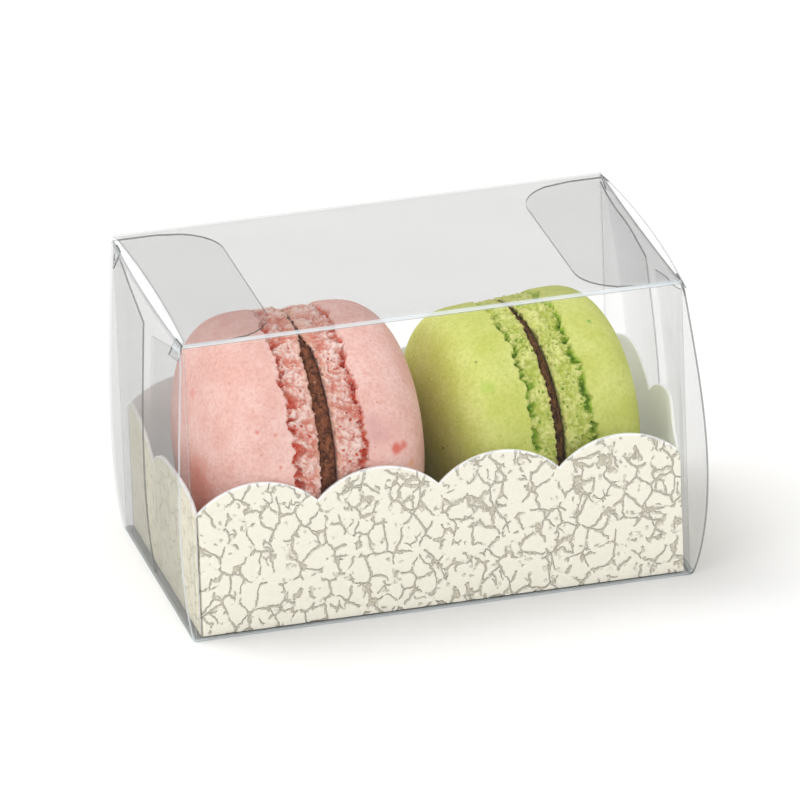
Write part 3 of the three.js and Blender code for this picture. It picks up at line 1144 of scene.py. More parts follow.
@dataclass
class FilmCarton:
    """A sheet of clear film folded into a sleeve, with a closure and dust flaps at each end.

    The film is the sheet's thickness, a slit is the free space between two layers of it, the flap
    sizes are the dust flaps', and an ear is a crumpled shoulder beside a closure's top crease.
    """

    depth: float = 48.0
    height: float = 50.0
    half_length: float = 39.8
    film: float = 0.3
    slit: float = 0.1
    front_crease_radius: float = 0.6
    back_crease_radius: float = 0.32
    fold_radius: float = 0.45
    top_edge_half_width: float = 23.3
    closure_half_width: float = 23.6
    tuck_half_width: float = 22.8
    tuck_corner: float = 9.0
    flap_bottom: float = 0.8
    flap_hinge_top: float = 48.4
    flap_free_top: float = 43.4
    flap_reach: float = 20.9
    flap_hinge: float = 23.68
    corner_reach: float = 13.0
    corner_straight: float = 1.0
    foot_radius: float = 0.4
    foot_hem: float = 1.2
    narrowing: float = 3.0
    waviness: float = 0.05
    panel_steps: int = 26
    crease_steps: int = 6
    length_steps: int = 90
    sleeve_pass: float = 0.71
    flap_pass: float = 0.95
    ear_width: float = 3.2
    ear_height: float = 2.6
    ear_bend: float = 0.7
    ear_steps: int = 6
    lines: list[bpy.types.Material] = field(init=False)

    def __post_init__(self) -> None:
        """Makes the finishes of the creases (partly a painted highlight), edges, painted reflection
        and flaps, in the order of FilmPart.
        """
        self.lines = [
            # A pale bluish white, partly the crease's own whitening, partly a painted highlight along
            # the bent film.
            FilmLineFinish("film crease and highlight", display_colour(222, 229, 232), 0.6).build(),
            FilmLineFinish("film cut edge", display_colour(118, 122, 120), 0.75).build(),
            FilmLineFinish("film fold", display_colour(168, 172, 171), 0.55).build(),
            # Painted reflection: a bright, nearly opaque white for the strip that mirrors the light
            # above.
            FilmLineFinish("film painted reflection", display_colour(254, 255, 255), 0.9).build(),
            FilmFinish("clear film of the flaps", self.flap_pass).build(),
        ]

    @property
    def closure_foot(self) -> float:
        """How far out a closure stands at the bottom."""
        return self.half_length + self.slit + self.film

    @property
    def tuck_top(self) -> float:
        """Height of the tuck flaps' upper face."""
        return self.height - self.film - self.slit

    def build(self) -> None:
        """Builds the sleeve, both closures and the dust flaps."""
        panel = FilmFinish("clear film", self.sleeve_pass).build()
        self.finish(self.sleeve(), "film_sleeve", panel)
        for end in ENDS:
            word = end.side.word
            panel = FilmFinish(f"clear film of the {word} end", end.glancing_pass).build()
            closure = self.closure(end).joined(self.ear(end, 1)).joined(self.ear(end, -1))
            self.finish(closure, f"{word}_film_closure", panel)
            flaps = self.dust_flap(end, 1).joined(self.dust_flap(end, -1))
            self.finish(flaps, f"{word}_dust_flaps", panel)

    def finish(self, block: Block, name: str, panel: bpy.types.Material) -> None:
        """Dresses a block of film, its panels in their own finish, and puts it in the frame."""
        settle(block.mesh(name, [panel, *self.lines]), Slot.FILM, "film_carton", IN_PACK)

    def cross_section(self) -> tuple[np.ndarray, list[FilmPart]]:
        """The sleeve's outline, from its back bottom corner over the top to the front.

        Returns:
            The outline's points in Y and Z, and the finish of each stretch after a point.
        """
        front, back = self.front_crease_radius, self.back_crease_radius
        half, height = self.depth / 2, self.height
        corners = [
            (half - back, back, back, -90),
            (half - back, height - back, back, 0),
            (front - half, height - front, front, 90),
            (front - half, front, front, 180),
        ]
        arcs = []
        for y, z, radius, start in corners:
            turns = np.radians(np.linspace(start, start + 90, self.crease_steps + 1))
            arcs.append([(y + radius * math.cos(turn), z + radius * math.sin(turn)) for turn in turns])
        back_crease = [FilmPart.PANEL] * self.crease_steps
        inside_crease = [FilmPart.CREASE] * (self.crease_steps - 2)
        # The front creases are pale in their middle, partly a painted highlight.
        front_crease = [FilmPart.FOLD, *inside_crease, FilmPart.FOLD]
        creases = (back_crease, back_crease, front_crease, front_crease)
        points, parts = [], []
        for index, (arc, crease) in enumerate(zip(arcs, creases)):
            before, after = np.array(arc[-1]), np.array(arcs[(index + 1) % len(arcs)][0])
            shares = np.linspace(0.0, 1.0, self.panel_steps + 1)[1:-1]
            points += arc + [tuple(blend(before, after, share)) for share in shares]
            parts += crease + [FilmPart.PANEL] * self.panel_steps
        return np.array(points), parts

    def sleeve(self) -> Block:
        """The four long panels, whose top panel has end edges that curve inwards."""
        section, parts = self.cross_section()
        count = len(section)
        share = np.linspace(0.0, 1.0, self.length_steps + 1)[:, None]
        within_edge = np.abs(section[:, 0]) < self.top_edge_half_width
        on_top = (section[:, 1] > self.height - 1e-6) & within_edge
        reach = {}
        for end in ENDS:
            curved = self.top_edge(end, section[:, 0])
            reach[end.side] = np.where(on_top, curved, self.half_length)[None, :]
        x = blend(-reach[Side.LEFT], reach[Side.RIGHT], share)
        y = np.broadcast_to(section[:, 0], x.shape)
        z = np.broadcast_to(section[:, 1], x.shape)
        tangent = np.roll(section, -1, axis=0) - np.roll(section, 1, axis=0)
        normal = np.stack([np.zeros(count), tangent[:, 1], -tangent[:, 0]], axis=1)
        normal /= np.linalg.norm(normal, axis=1, keepdims=True)
        wave = self.waves(x, y, z)[:, :, None]
        outer = np.stack([x, y, z], axis=2) - normal[None, :, :] * wave
        inner = outer - normal[None, :, :] * self.film
        # The sleeve's end rims below the top take the pale crease finish, partly a painted highlight.
        rim = [FilmPart.CUT if above else FilmPart.CREASE for above in on_top]
        return self.body(outer, inner, parts, (rim, rim))

    def top_edge(self, end: CartonEnd, y: np.ndarray) -> np.ndarray:
        """How far out the top panel's curved end edge is."""
        across = np.clip(1.0 - (y / self.top_edge_half_width) ** 2, 0.0, 1.0)
        return blend(end.top_edge_corner, end.top_edge_middle, across)

    def waves(self, x: np.ndarray, y: np.ndarray, z: np.ndarray) -> np.ndarray:
        """How far in the long panels sag, most in their middles and nothing at their ends."""
        middle_y = smooth_step((self.depth / 2 - np.abs(y)) / 6.0)
        middle_z = smooth_step((self.height / 2 - np.abs(z - self.height / 2)) / 6.0)
        middle = np.maximum(middle_y, middle_z)
        along = smooth_step((self.half_length - np.abs(x)) / 8.0)
        wave = 0.5 + 0.3 * np.sin(x * 0.13 + y * 0.21) + 0.2 * np.sin(x * 0.31 - z * 0.17 + 1.0)
        return 2 * self.waviness * middle * along * wave

    def body(self, outer: np.ndarray, inner: np.ndarray, parts: Sequence[FilmPart],
             row_rims: tuple[Sequence[FilmPart], Sequence[FilmPart]],
             column_rims: Sequence[FilmPart] = ()) -> Block:
        """Closes two grids of points into one thin body.

        Args:
            outer: The outer face's points, rows by columns.
            inner: The inner face's points.
            parts: The finish of the faces after each column.
            row_rims: The rim's finish after each column, along the first and the last row.
            column_rims: The rim's finish along the first and the last column. With none, the
                columns meet round the body.

        Returns:
            The closed body.
        """
        wrap = not column_rims
        rows, columns = outer.shape[:2]
        count = rows * columns
        per_row = columns if wrap else columns - 1
        skin = grid_faces(rows, columns, wrap)
        faces = skin + [tuple(corner + count for corner in reversed(face)) for face in skin]
        finishes = [int(part) for part in parts[:per_row]] * (rows - 1) * 2

        def add_rim(first: int, second: int, turned: bool, part: FilmPart) -> None:
            """Adds a face between two outer points and the inner points behind them."""
            face = (second, first, first + count, second + count)
            faces.append(tuple(reversed(face)) if turned else face)
            finishes.append(int(part))

        for row, turned, rim in ((0, False, row_rims[0]), (rows - 1, True, row_rims[1])):
            for column in range(per_row):
                start = row * columns
                add_rim(start + column, start + (column + 1) % columns, turned, rim[column])
        for column, turned, part in zip((0, columns - 1), (True, False), column_rims):
            for row in range(rows - 1):
                add_rim(row * columns + column, (row + 1) * columns + column, turned, part)
        points = np.vstack([outer.reshape(-1, 3), inner.reshape(-1, 3)])
        return Block(points, faces, finishes).outward()

    def closure(self, end: CartonEnd) -> Block:
        """A closure from its bottom crease up, over its top crease, to the tuck flap's free edge."""
        across_steps, panel_steps, strip_steps, tuck_steps = 48, 60, 3, 22
        across = np.linspace(-1.0, 1.0, across_steps + 1)
        level = np.ones_like(across)
        columns: list[np.ndarray] = []
        parts: list[FilmPart] = []

        def add(x: np.ndarray, y: np.ndarray, z: float, part: FilmPart) -> None:
            """Adds a line across the film, and the finish of what follows it."""
            columns.append(np.stack([x, y, z * level], axis=1))
            parts.append(part)

        y = across * self.closure_half_width
        foot = self.closure_foot - self.foot_radius
        add((foot - self.foot_hem) * level, y, 0.0, FilmPart.PANEL)
        turns = np.radians(np.linspace(-90.0, 0.0, self.crease_steps + 1))
        # The closure's bottom crease takes the pale crease finish, partly a painted highlight.
        for turn in turns:
            z = self.foot_radius * (1 + math.sin(turn))
            reach = foot + self.foot_radius * math.cos(turn)
            add(reach + end.closure.at(y, z * level), y, z, FilmPart.CREASE)
        parts[-1] = FilmPart.PANEL
        top = self.tuck_top - self.fold_radius
        for z in np.linspace(self.foot_radius, top, panel_steps + 1)[1:]:
            narrowed = float(smooth_step(np.array((z - top + self.narrowing) / self.narrowing)))
            y = across * blend(self.closure_half_width, self.tuck_half_width, narrowed)
            add(self.closure_foot + end.closure.at(y, z * level), y, float(z), FilmPart.PANEL)
        crest = columns[-1][:, 0]
        for turn in np.radians(np.linspace(0.0, 90.0, self.crease_steps + 1))[1:]:
            parts[-1] = FilmPart.FOLD
            z = top + self.fold_radius * math.sin(turn)
            add(crest - self.fold_radius * (1 - math.cos(turn)), y, z, FilmPart.PAINTED_REFLECTION)
        before_tuck = len(columns) - 1
        start = crest - self.fold_radius
        top_edge = np.minimum(self.top_edge(end, y), start - 0.02)
        # Painted reflection: the strip of tuck flap beyond the top panel's edge, and the last step of
        # the crease before it, take the white reflection finish.
        for share in np.linspace(0.0, 1.0, strip_steps + 1)[1:]:
            add(blend(start, top_edge, share), y, self.tuck_top, FilmPart.PAINTED_REFLECTION)
        parts[-1] = FilmPart.FLAP
        past_straight = np.abs(y) - (self.tuck_half_width - self.tuck_corner)
        into_corner = np.clip(past_straight, 0.0, self.tuck_corner)
        rounding = self.tuck_corner - np.sqrt(self.tuck_corner ** 2 - into_corner ** 2)
        free_edge = end.tuck_inner_edge + rounding
        for share in np.linspace(0.0, 1.0, tuck_steps + 1)[1:]:
            add(blend(top_edge, free_edge, share), y, self.tuck_top, FilmPart.FLAP)
        outer = np.array(columns).transpose(1, 0, 2)
        outer[:, :, 0] *= int(end.side)
        on_tuck = [FilmPart.CUT] * (len(columns) - before_tuck)
        # Painted highlight: the left end's front edge takes the pale crease finish, where the right
        # end's takes the dark cut edge.
        front_edge = FilmPart.CUT if end.side == Side.RIGHT else FilmPart.CREASE
        front_rim = [front_edge] * before_tuck + on_tuck
        back_rim = [FilmPart.PANEL] * before_tuck + on_tuck
        return self.body(outer, self.inside(outer), parts, (front_rim, back_rim),
                         (FilmPart.CUT, FilmPart.CUT))

    def ear(self, end: CartonEnd, wall_side: int) -> Block:
        """The crumpled shoulder beside one end of a closure's top crease."""
        count = self.ear_steps + 1
        across = np.linspace(0.0, 1.0, count)[:, None]
        up = np.linspace(0.0, 1.0, count)[None, :]
        start = end.back_ear if wall_side > 0 else end.front_ear
        y = wall_side * (self.closure_half_width - start - self.ear_width * across) + up * 0.0
        z = self.tuck_top - self.ear_height * (1.0 - up) + across * 0.0
        bent = self.ear_bend * (across * (1.0 - up) - 0.5 * up)
        x = self.closure_foot + self.slit / 2 + end.closure.at(y, z) + bent
        # The left ears' upper half takes the pale crease finish, partly a painted highlight on
        # crumpled film.
        upper = FilmPart.CREASE if end.side == Side.LEFT else FilmPart.PANEL
        lower_steps = self.ear_steps // 2
        parts = [FilmPart.PANEL] * lower_steps + [upper] * (count - lower_steps)
        rim = [FilmPart.CUT] * count
        outer, inner = self.skins(end, x, y, z)
        return self.body(outer, inner, parts, (rim, rim), (FilmPart.PANEL, FilmPart.CUT))

    def skins(self, end: CartonEnd, x: np.ndarray, y: np.ndarray,
              z: np.ndarray) -> tuple[np.ndarray, np.ndarray]:
        """The outer and inner face of film at one end, the film's thickness apart along X."""
        outer = np.stack([int(end.side) * x, y, z], axis=2)
        return outer, outer - np.array([int(end.side) * self.film, 0.0, 0.0])

    def inside(self, outer: np.ndarray) -> np.ndarray:
        """The inner face's points, the film's thickness towards the carton's middle."""
        normals = surface_normals(outer)
        middle = np.array([0.0, 0.0, self.height / 2])
        centre = outer.shape[0] // 2, outer.shape[1] // 2
        if np.dot(normals[centre], outer[centre] - middle) < 0:
            normals = -normals
        return outer - normals * self.film

    def dust_flap(self, end: CartonEnd, wall_side: int) -> Block:
        """A dust flap, folded in from a long wall's end behind the closure."""
        along_steps, up_steps = 30, 44
        along = np.linspace(0.0, 1.0, along_steps + 1)[None, :]
        up = np.linspace(0.0, 1.0, up_steps + 1)[:, None]
        y = wall_side * (self.flap_hinge - self.flap_reach * along)
        top = blend(self.flap_hinge_top, self.flap_free_top, along)
        z = blend(self.flap_bottom, top, up)
        y = np.broadcast_to(y, z.shape)
        ramp = smooth_step((self.depth / 2 - self.corner_straight - np.abs(y)) / self.corner_reach)
        outer, inner = self.skins(end, self.half_length + ramp * end.dust_flap.at(y, z), y, z)
        is_back = wall_side > 0
        top_rim = FilmPart.CUT if is_back or end.side == Side.RIGHT else FilmPart.PANEL
        back_edge = FilmPart.CUT if end.side == Side.LEFT else FilmPart.FOLD
        free_rim = back_edge if is_back else FilmPart.PANEL
        plain = [FilmPart.FLAP] * (along_steps + 1)
        rims = (plain, [top_rim] * (along_steps + 1))
        return self.body(outer, inner, plain, rims, (FilmPart.FLAP, free_rim))


@dataclass
class CardTray:
    """One piece of card: a base with four scalloped walls folded up from it.

    Args:
        card: The card's thickness.
        bottom: Height of its underside.
        half_length: From the middle to the outer face of an end wall.
        half_depth: From the middle to the outer face of a long wall.
        end_half_width: Half the width of an end wall.
        cusp: Height between two scallops.
        peak: Height of a scallop.
        long_scallops: How many scallops a long wall has.
        end_scallops: How many an end wall has.
        lean_start: How far from the middle an end wall begins to lean out.
        lean_reach: How far from there it has its full lean.
        step: Distance between the points of a wall.
        emboss: How deep the veins are.
        emboss_widen: How many times wider than their colour they are.
        end_crackle: How much of the crackle an end wall has. The rest sets how much painted shade its
            outside takes.
        base_points: How many points the base has along and across.
    """

    card: float = 0.45
    bottom: float = 0.6
    half_length: float = 38.9
    half_depth: float = 23.3
    end_half_width: float = 22.4
    cusp: float = 21.0
    peak: float = 25.2
    long_scallops: int = 4
    end_scallops: int = 2
    lean_start: float = 23.0
    lean_reach: float = 13.0
    step: float = 0.42
    emboss: float = 0.07
    emboss_widen: float = 2.6
    end_crackle: float = 0.4
    base_points: tuple[int, int] = (41, 25)

    def build(self) -> None:
        """Builds the walls with one tree, and joins them to the base."""
        finishes = (CardFinish().build(), PlainCardFinish().build())
        tool = self.wall_tool()
        walls = [
            self.wall(tool, finishes, Facing.FRONT, 0.0, 0.0),
            self.wall(tool, finishes, Facing.BACK, 0.0, 0.0),
            self.wall(tool, finishes, Facing.LEFT, LEFT_END.tray_lean, LEFT_END.tray_lift),
            self.wall(tool, finishes, Facing.RIGHT, RIGHT_END.tray_lean, RIGHT_END.tray_lift),
        ]
        base = self.base().mesh("tray_base", finishes, smooth=False)
        tray = join_pieces([base, *walls], "scalloped_card_tray")
        settle(tray, Slot.CARD, "card_tray")

    def wall(self, tool: NodeTool, finishes: tuple[bpy.types.Material, ...], facing: Facing,
             lean: float, lift: float) -> bpy.types.Object:
        """One wall, made by the tree.

        Args:
            tool: The tree.
            finishes: The crackled and the plain finish.
            facing: Which way the wall looks.
            lean: How far its top leans out.
            lift: How much higher than the long walls its scallops stand.

        Returns:
            The wall as a plain mesh.
        """
        is_long = facing in (Facing.FRONT, Facing.BACK)
        width = 2 * (self.half_length if is_long else self.end_half_width)
        start = Block(np.zeros((1, 3)), [], []).mesh("wall_start", finishes)
        return tool.apply(
            start, f"wall_{facing.name.lower()}",
            Width=float(width),
            Distance=float(self.half_depth if is_long else self.half_length),
            Turn=math.radians(facing.value),
            Shift=float(PACK_SHIFT),
            Bottom=self.bottom,
            Cusp=self.cusp + lift,
            Peak=self.peak + lift,
            Scallops=float(self.long_scallops if is_long else self.end_scallops),
            Card=self.card,
            Lean=float(lean),
            Crackle_Share=1.0 if is_long else self.end_crackle,
            Emboss=self.emboss,
            Steps_Along=int(width / self.step),
            Steps_Up=int((self.peak - self.bottom) / self.step),
            Outside=finishes[0],
            Inside=finishes[1],
        )

    def wall_tool(self) -> NodeTool:
        """The tree that makes a scalloped wall from its sizes, with the crackle as relief outside."""
        tool = NodeTool("Scalloped wall")
        graph = tool.graph
        names = ("Width", "Distance", "Turn", "Shift", "Bottom", "Cusp", "Peak", "Scallops",
                 "Card", "Lean", "Crackle Share", "Emboss")
        ask = {name: tool.ask(name) for name in names}
        steps_along = tool.ask("Steps Along", "Int")
        steps_up = tool.ask("Steps Up", "Int")
        outside = tool.ask("Outside", "Material")
        inside = tool.ask("Inside", "Material")

        cube = graph.fill(graph.node("GeometryNodeMeshCube"), {
            "Vertices X": steps_along,
            "Vertices Y": 2,
            "Vertices Z": steps_up,
            "Size": (1.0, 1.0, 1.0),
        })
        x, y, z = graph.parts(tool.position())
        along = graph.math("ADD", x, 0.5)
        through = graph.math("ADD", y, 0.5)
        up = graph.math("ADD", z, 0.5)

        chord = graph.math("DIVIDE", ask["Width"], ask["Scallops"])
        rise = graph.math("SUBTRACT", ask["Peak"], ask["Cusp"])
        squares = graph.total(graph.product(chord, chord, 0.25), graph.product(rise, rise))
        radius = graph.math("DIVIDE", squares, graph.product(rise, 2.0))
        before_end = graph.math("MULTIPLY", along, 0.99999)
        within = graph.math("FRACT", graph.product(before_end, ask["Scallops"]))
        offset = graph.product(graph.math("SUBTRACT", within, 0.5), chord)
        squared = graph.math("SUBTRACT", graph.product(radius, radius), graph.product(offset, offset))
        drop = graph.math("SUBTRACT", radius, graph.math("SQRT", squared))
        top = graph.math("SUBTRACT", ask["Peak"], drop)
        height = graph.mix(up, ask["Bottom"], top)

        across = graph.product(x, ask["Width"])
        out_of_corner = graph.math("SUBTRACT", self.lean_start, graph.math("ABSOLUTE", across))
        ramp = graph.ease(out_of_corner, 0.0, self.lean_reach)
        raised = graph.math("DIVIDE", graph.math("SUBTRACT", height, ask["Bottom"]), ask["Peak"])
        rising = graph.math("SINE", graph.product(math.pi / 2, raised))
        lean = graph.product(ask["Lean"], ramp, rising)
        inward = graph.math("SUBTRACT", graph.product(through, ask["Card"]), lean)
        flat = graph.combine(across, graph.math("SUBTRACT", inward, ask["Distance"]), height)
        facing = self.turned(graph, flat, ask["Turn"])
        turned = graph.vector("ADD", facing, graph.combine(ask["Shift"]))
        marked = tool.store(cube.outputs["Mesh"], "through", through)
        marked = tool.store(marked, "from_rim", graph.math("SUBTRACT", top, height))
        marked = tool.store(marked, "from_left", graph.product(along, ask["Width"]))
        marked = tool.store(marked, "crackle", ask["Crackle Share"])
        shaped = tool.place(marked, turned)

        margin = graph.product(
            graph.ease(tool.read("through"), 0.5, 0.0),
            graph.ease(tool.read("from_rim"), 0.2, 0.9),
        )
        position = tool.position()
        veins = Crackle().strength(graph, position, self.emboss_widen)
        depth = graph.product(veins, margin, ask["Emboss"])
        inwards = self.turned(graph, (0.0, 1.0, 0.0), ask["Turn"])
        moved = graph.vector("ADD", position, graph.vector("SCALE", inwards, depth))
        embossed = tool.place(shaped, moved)
        flat_shaded = tool.step("GeometryNodeSetShadeSmooth", embossed, {"Shade Smooth": False})
        plain = tool.paint(flat_shaded, inside)
        on_outside = graph.math("LESS_THAN", tool.read("through"), 0.25)
        tool.close(tool.paint(plain, outside, on_outside))
        return tool

    def turned(self, graph: Graph, place: object, turn: Socket) -> Socket:
        """A place turned about Z."""
        made = graph.node("ShaderNodeVectorRotate", rotation_type="Z_AXIS")
        return graph.fill(made, {"Vector": place, "Angle": turn}).outputs["Vector"]

    def base(self) -> Block:
        """The flat base, inside the walls."""
        reach_x, reach_y = self.half_length - self.card, self.half_depth - self.card
        xs = np.linspace(-reach_x, reach_x, self.base_points[0]) + PACK_SHIFT
        ys = np.linspace(-reach_y, reach_y, self.base_points[1])
        sheet = np.array([[(x, y, self.bottom + self.card) for x in xs] for y in ys])
        below = sheet - np.array([0.0, 0.0, self.card])
        rows, columns = sheet.shape[:2]
        count = rows * columns
        skin = grid_faces(rows, columns)
        faces = skin + [tuple(corner + count for corner in reversed(face)) for face in skin]
        finishes = [1] * len(skin) + [0] * len(skin)
        border = list(range(columns))
        border += [row * columns + columns - 1 for row in range(1, rows)]
        border += [(rows - 1) * columns + column for column in range(columns - 2, -1, -1)]
        border += [row * columns for row in range(rows - 2, 0, -1)]
        for a, b in zip(border, border[1:] + border[:1]):
            faces.append((b, a, a + count, b + count))
            finishes.append(1)
        points = np.vstack([sheet.reshape(-1, 3), below.reshape(-1, 3)])
        return Block(points, faces, finishes).outward()


def join_pieces(pieces: Sequence[bpy.types.Object], name: str) -> bpy.types.Object:
    """Joins mesh objects into the first and names the result."""
    bpy.ops.object.select_all(action="DESELECT")
    for piece in pieces:
        piece.select_set(True)
    bpy.context.view_layer.objects.active = pieces[0]
    bpy.ops.object.join()
    pieces[0].name = name
    pieces[0].data.name = name
    return pieces[0]


@dataclass(frozen=True)
class Shell:
    """One meringue shell.

    Args:
        radius: Its largest radius.
        height: From its flat side to its apex.
        foot: From its flat side to the crevice.
        face: Where its flat side lies along the cake's axis.
        wedge: How much further along that side lies at the front than in the middle.
        seed: What sets its noise and its crumbs apart from the other shells'.
        lump: The size of the foot's lumps.
        pore_chance: The share of the lumps that have a pore.
        bulge: How far its rim bulges over the filling at the top.
        pit_width: How wide the crevice gapes.
    """

    radius: float
    height: float
    foot: float
    face: float
    wedge: float
    seed: float
    lump: float
    pore_chance: float
    bulge: float
    pit_width: float


@dataclass
class SandwichCake:
    """Two meringue shells standing on edge with cream between them.

    Args:
        name: The word for it in the names of its pieces.
        finish: The shells' finish.
        cream_finish: The filling's finish.
        slot: The record's slot for its shells.
        centre_x: Its middle along the carton.
        centre_y: Its middle from front to back.
        yaw: How far it is turned about Z, in degrees.
        tilt: How far its top leans to the left, in degrees.
        dome_power: The power that the height has in the domes' profile.
        dome_root: The power that the radius has in it.
        filling_radius: The filling's radius.
        left: Its left shell.
        right: Its right shell.
        segments: How many steps go round a shell.
        stand: The height that it stands at.
        foot_inset: How much smaller a foot's radius is than its dome's.
        foot_edge: The radius of the foot's rounded edge.
        lip: How far over the crevice the dome is widest.
        band_over: How far over the crevice the fine rows of points end.
        band_step: Distance between those rows.
        dome_rows: How many rows the rest of the dome has.
        gap: Free space on each side of the filling.
    """

    name: str
    finish: MeringueFinish
    cream_finish: FillingFinish
    slot: Slot
    centre_x: float
    centre_y: float
    yaw: float
    tilt: float
    dome_power: float
    dome_root: float
    filling_radius: float
    left: Shell
    right: Shell
    segments: int = 620
    stand: float = 1.35
    foot_inset: float = 0.45
    foot_edge: float = 0.35
    lip: float = 0.5
    band_over: float = 1.4
    band_step: float = 0.16
    dome_rows: int = 60
    gap: float = 0.12

    def build(self, shell_tool: "ShellTool", cream_tool: "CreamTool") -> None:
        """Builds both shells and the filling.

        Args:
            shell_tool: The tree that makes a shell ragged.
            cream_tool: The tree that makes a filling uneven.
        """
        meringue = self.finish.build()
        for side, shell in ((Side.LEFT, self.left), (Side.RIGHT, self.right)):
            start = self.lathe(*self.profile(shell), self.segments, "shell_start")
            name = f"{self.name}_{side.word}_meringue"
            piece = shell_tool.apply(start, name, shell, side, meringue)
            node = f"{self.name}_{side.word}_shell"
            settle(piece, self.slot, node, self.shell_place(side, shell))
        cream = cream_tool.apply(self.turned_filling(), f"{self.name}_cream", self.left.seed,
                                 self.cream_finish.build())
        settle(cream, Slot.FILLING, f"{self.name}_filling", self.cake_place())

    def cake_place(self) -> Matrix:
        """The cake's own axes in the frame, in millimetres."""
        standing = max(self.left.radius, self.right.radius)
        place = Matrix.Translation((self.centre_x + PACK_SHIFT, self.centre_y, self.stand + standing))
        yaw = Matrix.Rotation(math.radians(self.yaw), 4, "Z")
        return place @ yaw @ Matrix.Rotation(math.radians(-self.tilt), 4, "Y")

    def shell_place(self, side: Side, shell: Shell) -> Matrix:
        """Where a shell shaped about Z goes: its axis along X, its apex outwards."""
        face = Matrix.Translation((shell.face, 0.0, 0.0))
        wedge = Matrix.Rotation(math.atan2(shell.wedge, shell.radius), 4, "Z")
        lay = Matrix.Rotation(int(side) * math.pi / 2, 4, "Y")
        return self.cake_place() @ face @ wedge @ lay

    def profile(self, shell: Shell) -> tuple[np.ndarray, dict[str, np.ndarray]]:
        """A shell's profile from its flat side's middle to its apex.

        Args:
            shell: The shell's sizes.

        Returns:
            The profile's radii and heights, and for each point its height over the crevice and
            its shares of the ragged band, the lift and the rim at the filling.
        """
        foot_radius = shell.radius - self.foot_inset
        rim = shell.foot + self.lip
        rise = shell.height - rim

        def dome_radius(height: np.ndarray) -> np.ndarray:
            """The dome's radius at heights above its rim."""
            share = np.clip((height - rim) / rise, 0.0, 1.0)
            return shell.radius * (1.0 - share ** self.dome_power) ** (1 / self.dome_root)

        flat = foot_radius * np.array([0.0, 0.35, 0.6, 0.78, 0.88, 0.92, 0.945, 0.96])
        turns = np.radians(np.linspace(0.0, 90.0, 5))
        edge = self.foot_edge
        round_radii = foot_radius - edge + edge * np.sin(turns)
        round_heights = edge - edge * np.cos(turns)
        band_top = shell.foot + self.band_over
        band = np.arange(edge + self.band_step, band_top, self.band_step)
        onto_dome = smooth_step((band - shell.foot + 0.22) / 0.44)
        band_radii = blend(foot_radius, dome_radius(band), onto_dome)
        first = math.asin(((band_top - rim) / rise) ** (self.dome_power / 2))
        angles = np.linspace(first, math.pi / 2, self.dome_rows)
        dome = rim + rise * np.sin(angles) ** (2 / self.dome_power)
        radii = np.concatenate([flat, round_radii, band_radii, dome_radius(dome)])
        heights = np.concatenate([np.zeros(len(flat)), round_heights, band, dome])
        over = heights - shell.foot
        at_side = smooth_step((radii / foot_radius - 0.93) / 0.03)
        marks = {
            "over": over,
            "band": at_side * (1.0 - smooth_step((over - 0.8) / 0.8)),
            "lift": smooth_step(heights / 2.0) * (1.0 - smooth_step(over / 2.6)),
            "rim": at_side * (1.0 - smooth_step(heights / 0.9)),
        }
        return np.stack([radii, heights], axis=1), marks

    def lathe(self, profile: np.ndarray, marks: dict[str, np.ndarray], segments: int,
              name: str) -> bpy.types.Object:
        """Turns a profile about Z into a closed body with one point at each pole.

        Args:
            profile: Radii and heights, starting and ending on the axis.
            marks: Numbers stored on the points of each profile place.
            segments: How many steps go round.
            name: The object's name.

        Returns:
            The turned object.
        """
        angles = np.linspace(0.0, 2 * np.pi, segments, endpoint=False)
        rings = profile[1:-1]
        points = np.stack([
            rings[:, :1] * np.cos(angles)[None, :],
            rings[:, :1] * np.sin(angles)[None, :],
            np.broadcast_to(rings[:, 1:], (len(rings), segments)),
        ], axis=2).reshape(-1, 3)
        faces: list[tuple[int, ...]] = list(grid_faces(len(rings), segments, wrap=True))
        low_pole, high_pole = len(points), len(points) + 1
        last = (len(rings) - 1) * segments
        for step in range(segments):
            beside = (step + 1) % segments
            faces.append((low_pole, beside, step))
            faces.append((last + step, last + beside, high_pole))
        poles = np.array([[0.0, 0.0, profile[0, 1]], [0.0, 0.0, profile[-1, 1]]])
        spread = {
            mark: np.concatenate([np.repeat(values[1:-1], segments), values[[0, -1]]])
            for mark, values in marks.items()
        }
        block = Block(np.vstack([points, poles]), faces, [0] * len(faces), spread)
        return block.outward().mesh(name, [])

    def turned_filling(self) -> bpy.types.Object:
        """The filling turned about Z and laid along X, following the wedge between the shells."""
        outer = self.filling_radius
        profile = [(0.0, 0.0), (outer * 0.5, 0.0), (outer * 0.8, 0.0), (outer * 0.92, 0.0)]
        profile += [(outer - 0.5, 0.0), (outer - 0.2, 0.04), (outer - 0.06, 0.14)]
        shares = np.linspace(0.2, 0.8, 11)
        profile += [(outer + 0.1 * math.sin(math.pi * share), share) for share in shares]
        profile += [(radius, 1.0 - share) for radius, share in reversed(profile[:7])]
        radii = np.array([radius for radius, _ in profile])
        marks = {"cream": np.clip((radii - outer * 0.9) / (outer * 0.08), 0.0, 1.0)}
        scratch = self.lathe(np.array(profile), marks, 420, "cream_start")
        for vertex in scratch.data.vertices:
            x, y, share = vertex.co
            towards_front = -x / outer
            low = self.left.face + self.gap + self.left.wedge * towards_front
            high = self.right.face - self.gap + self.right.wedge * towards_front
            vertex.co = Vector((blend(low, high, share), x, y))
        return scratch


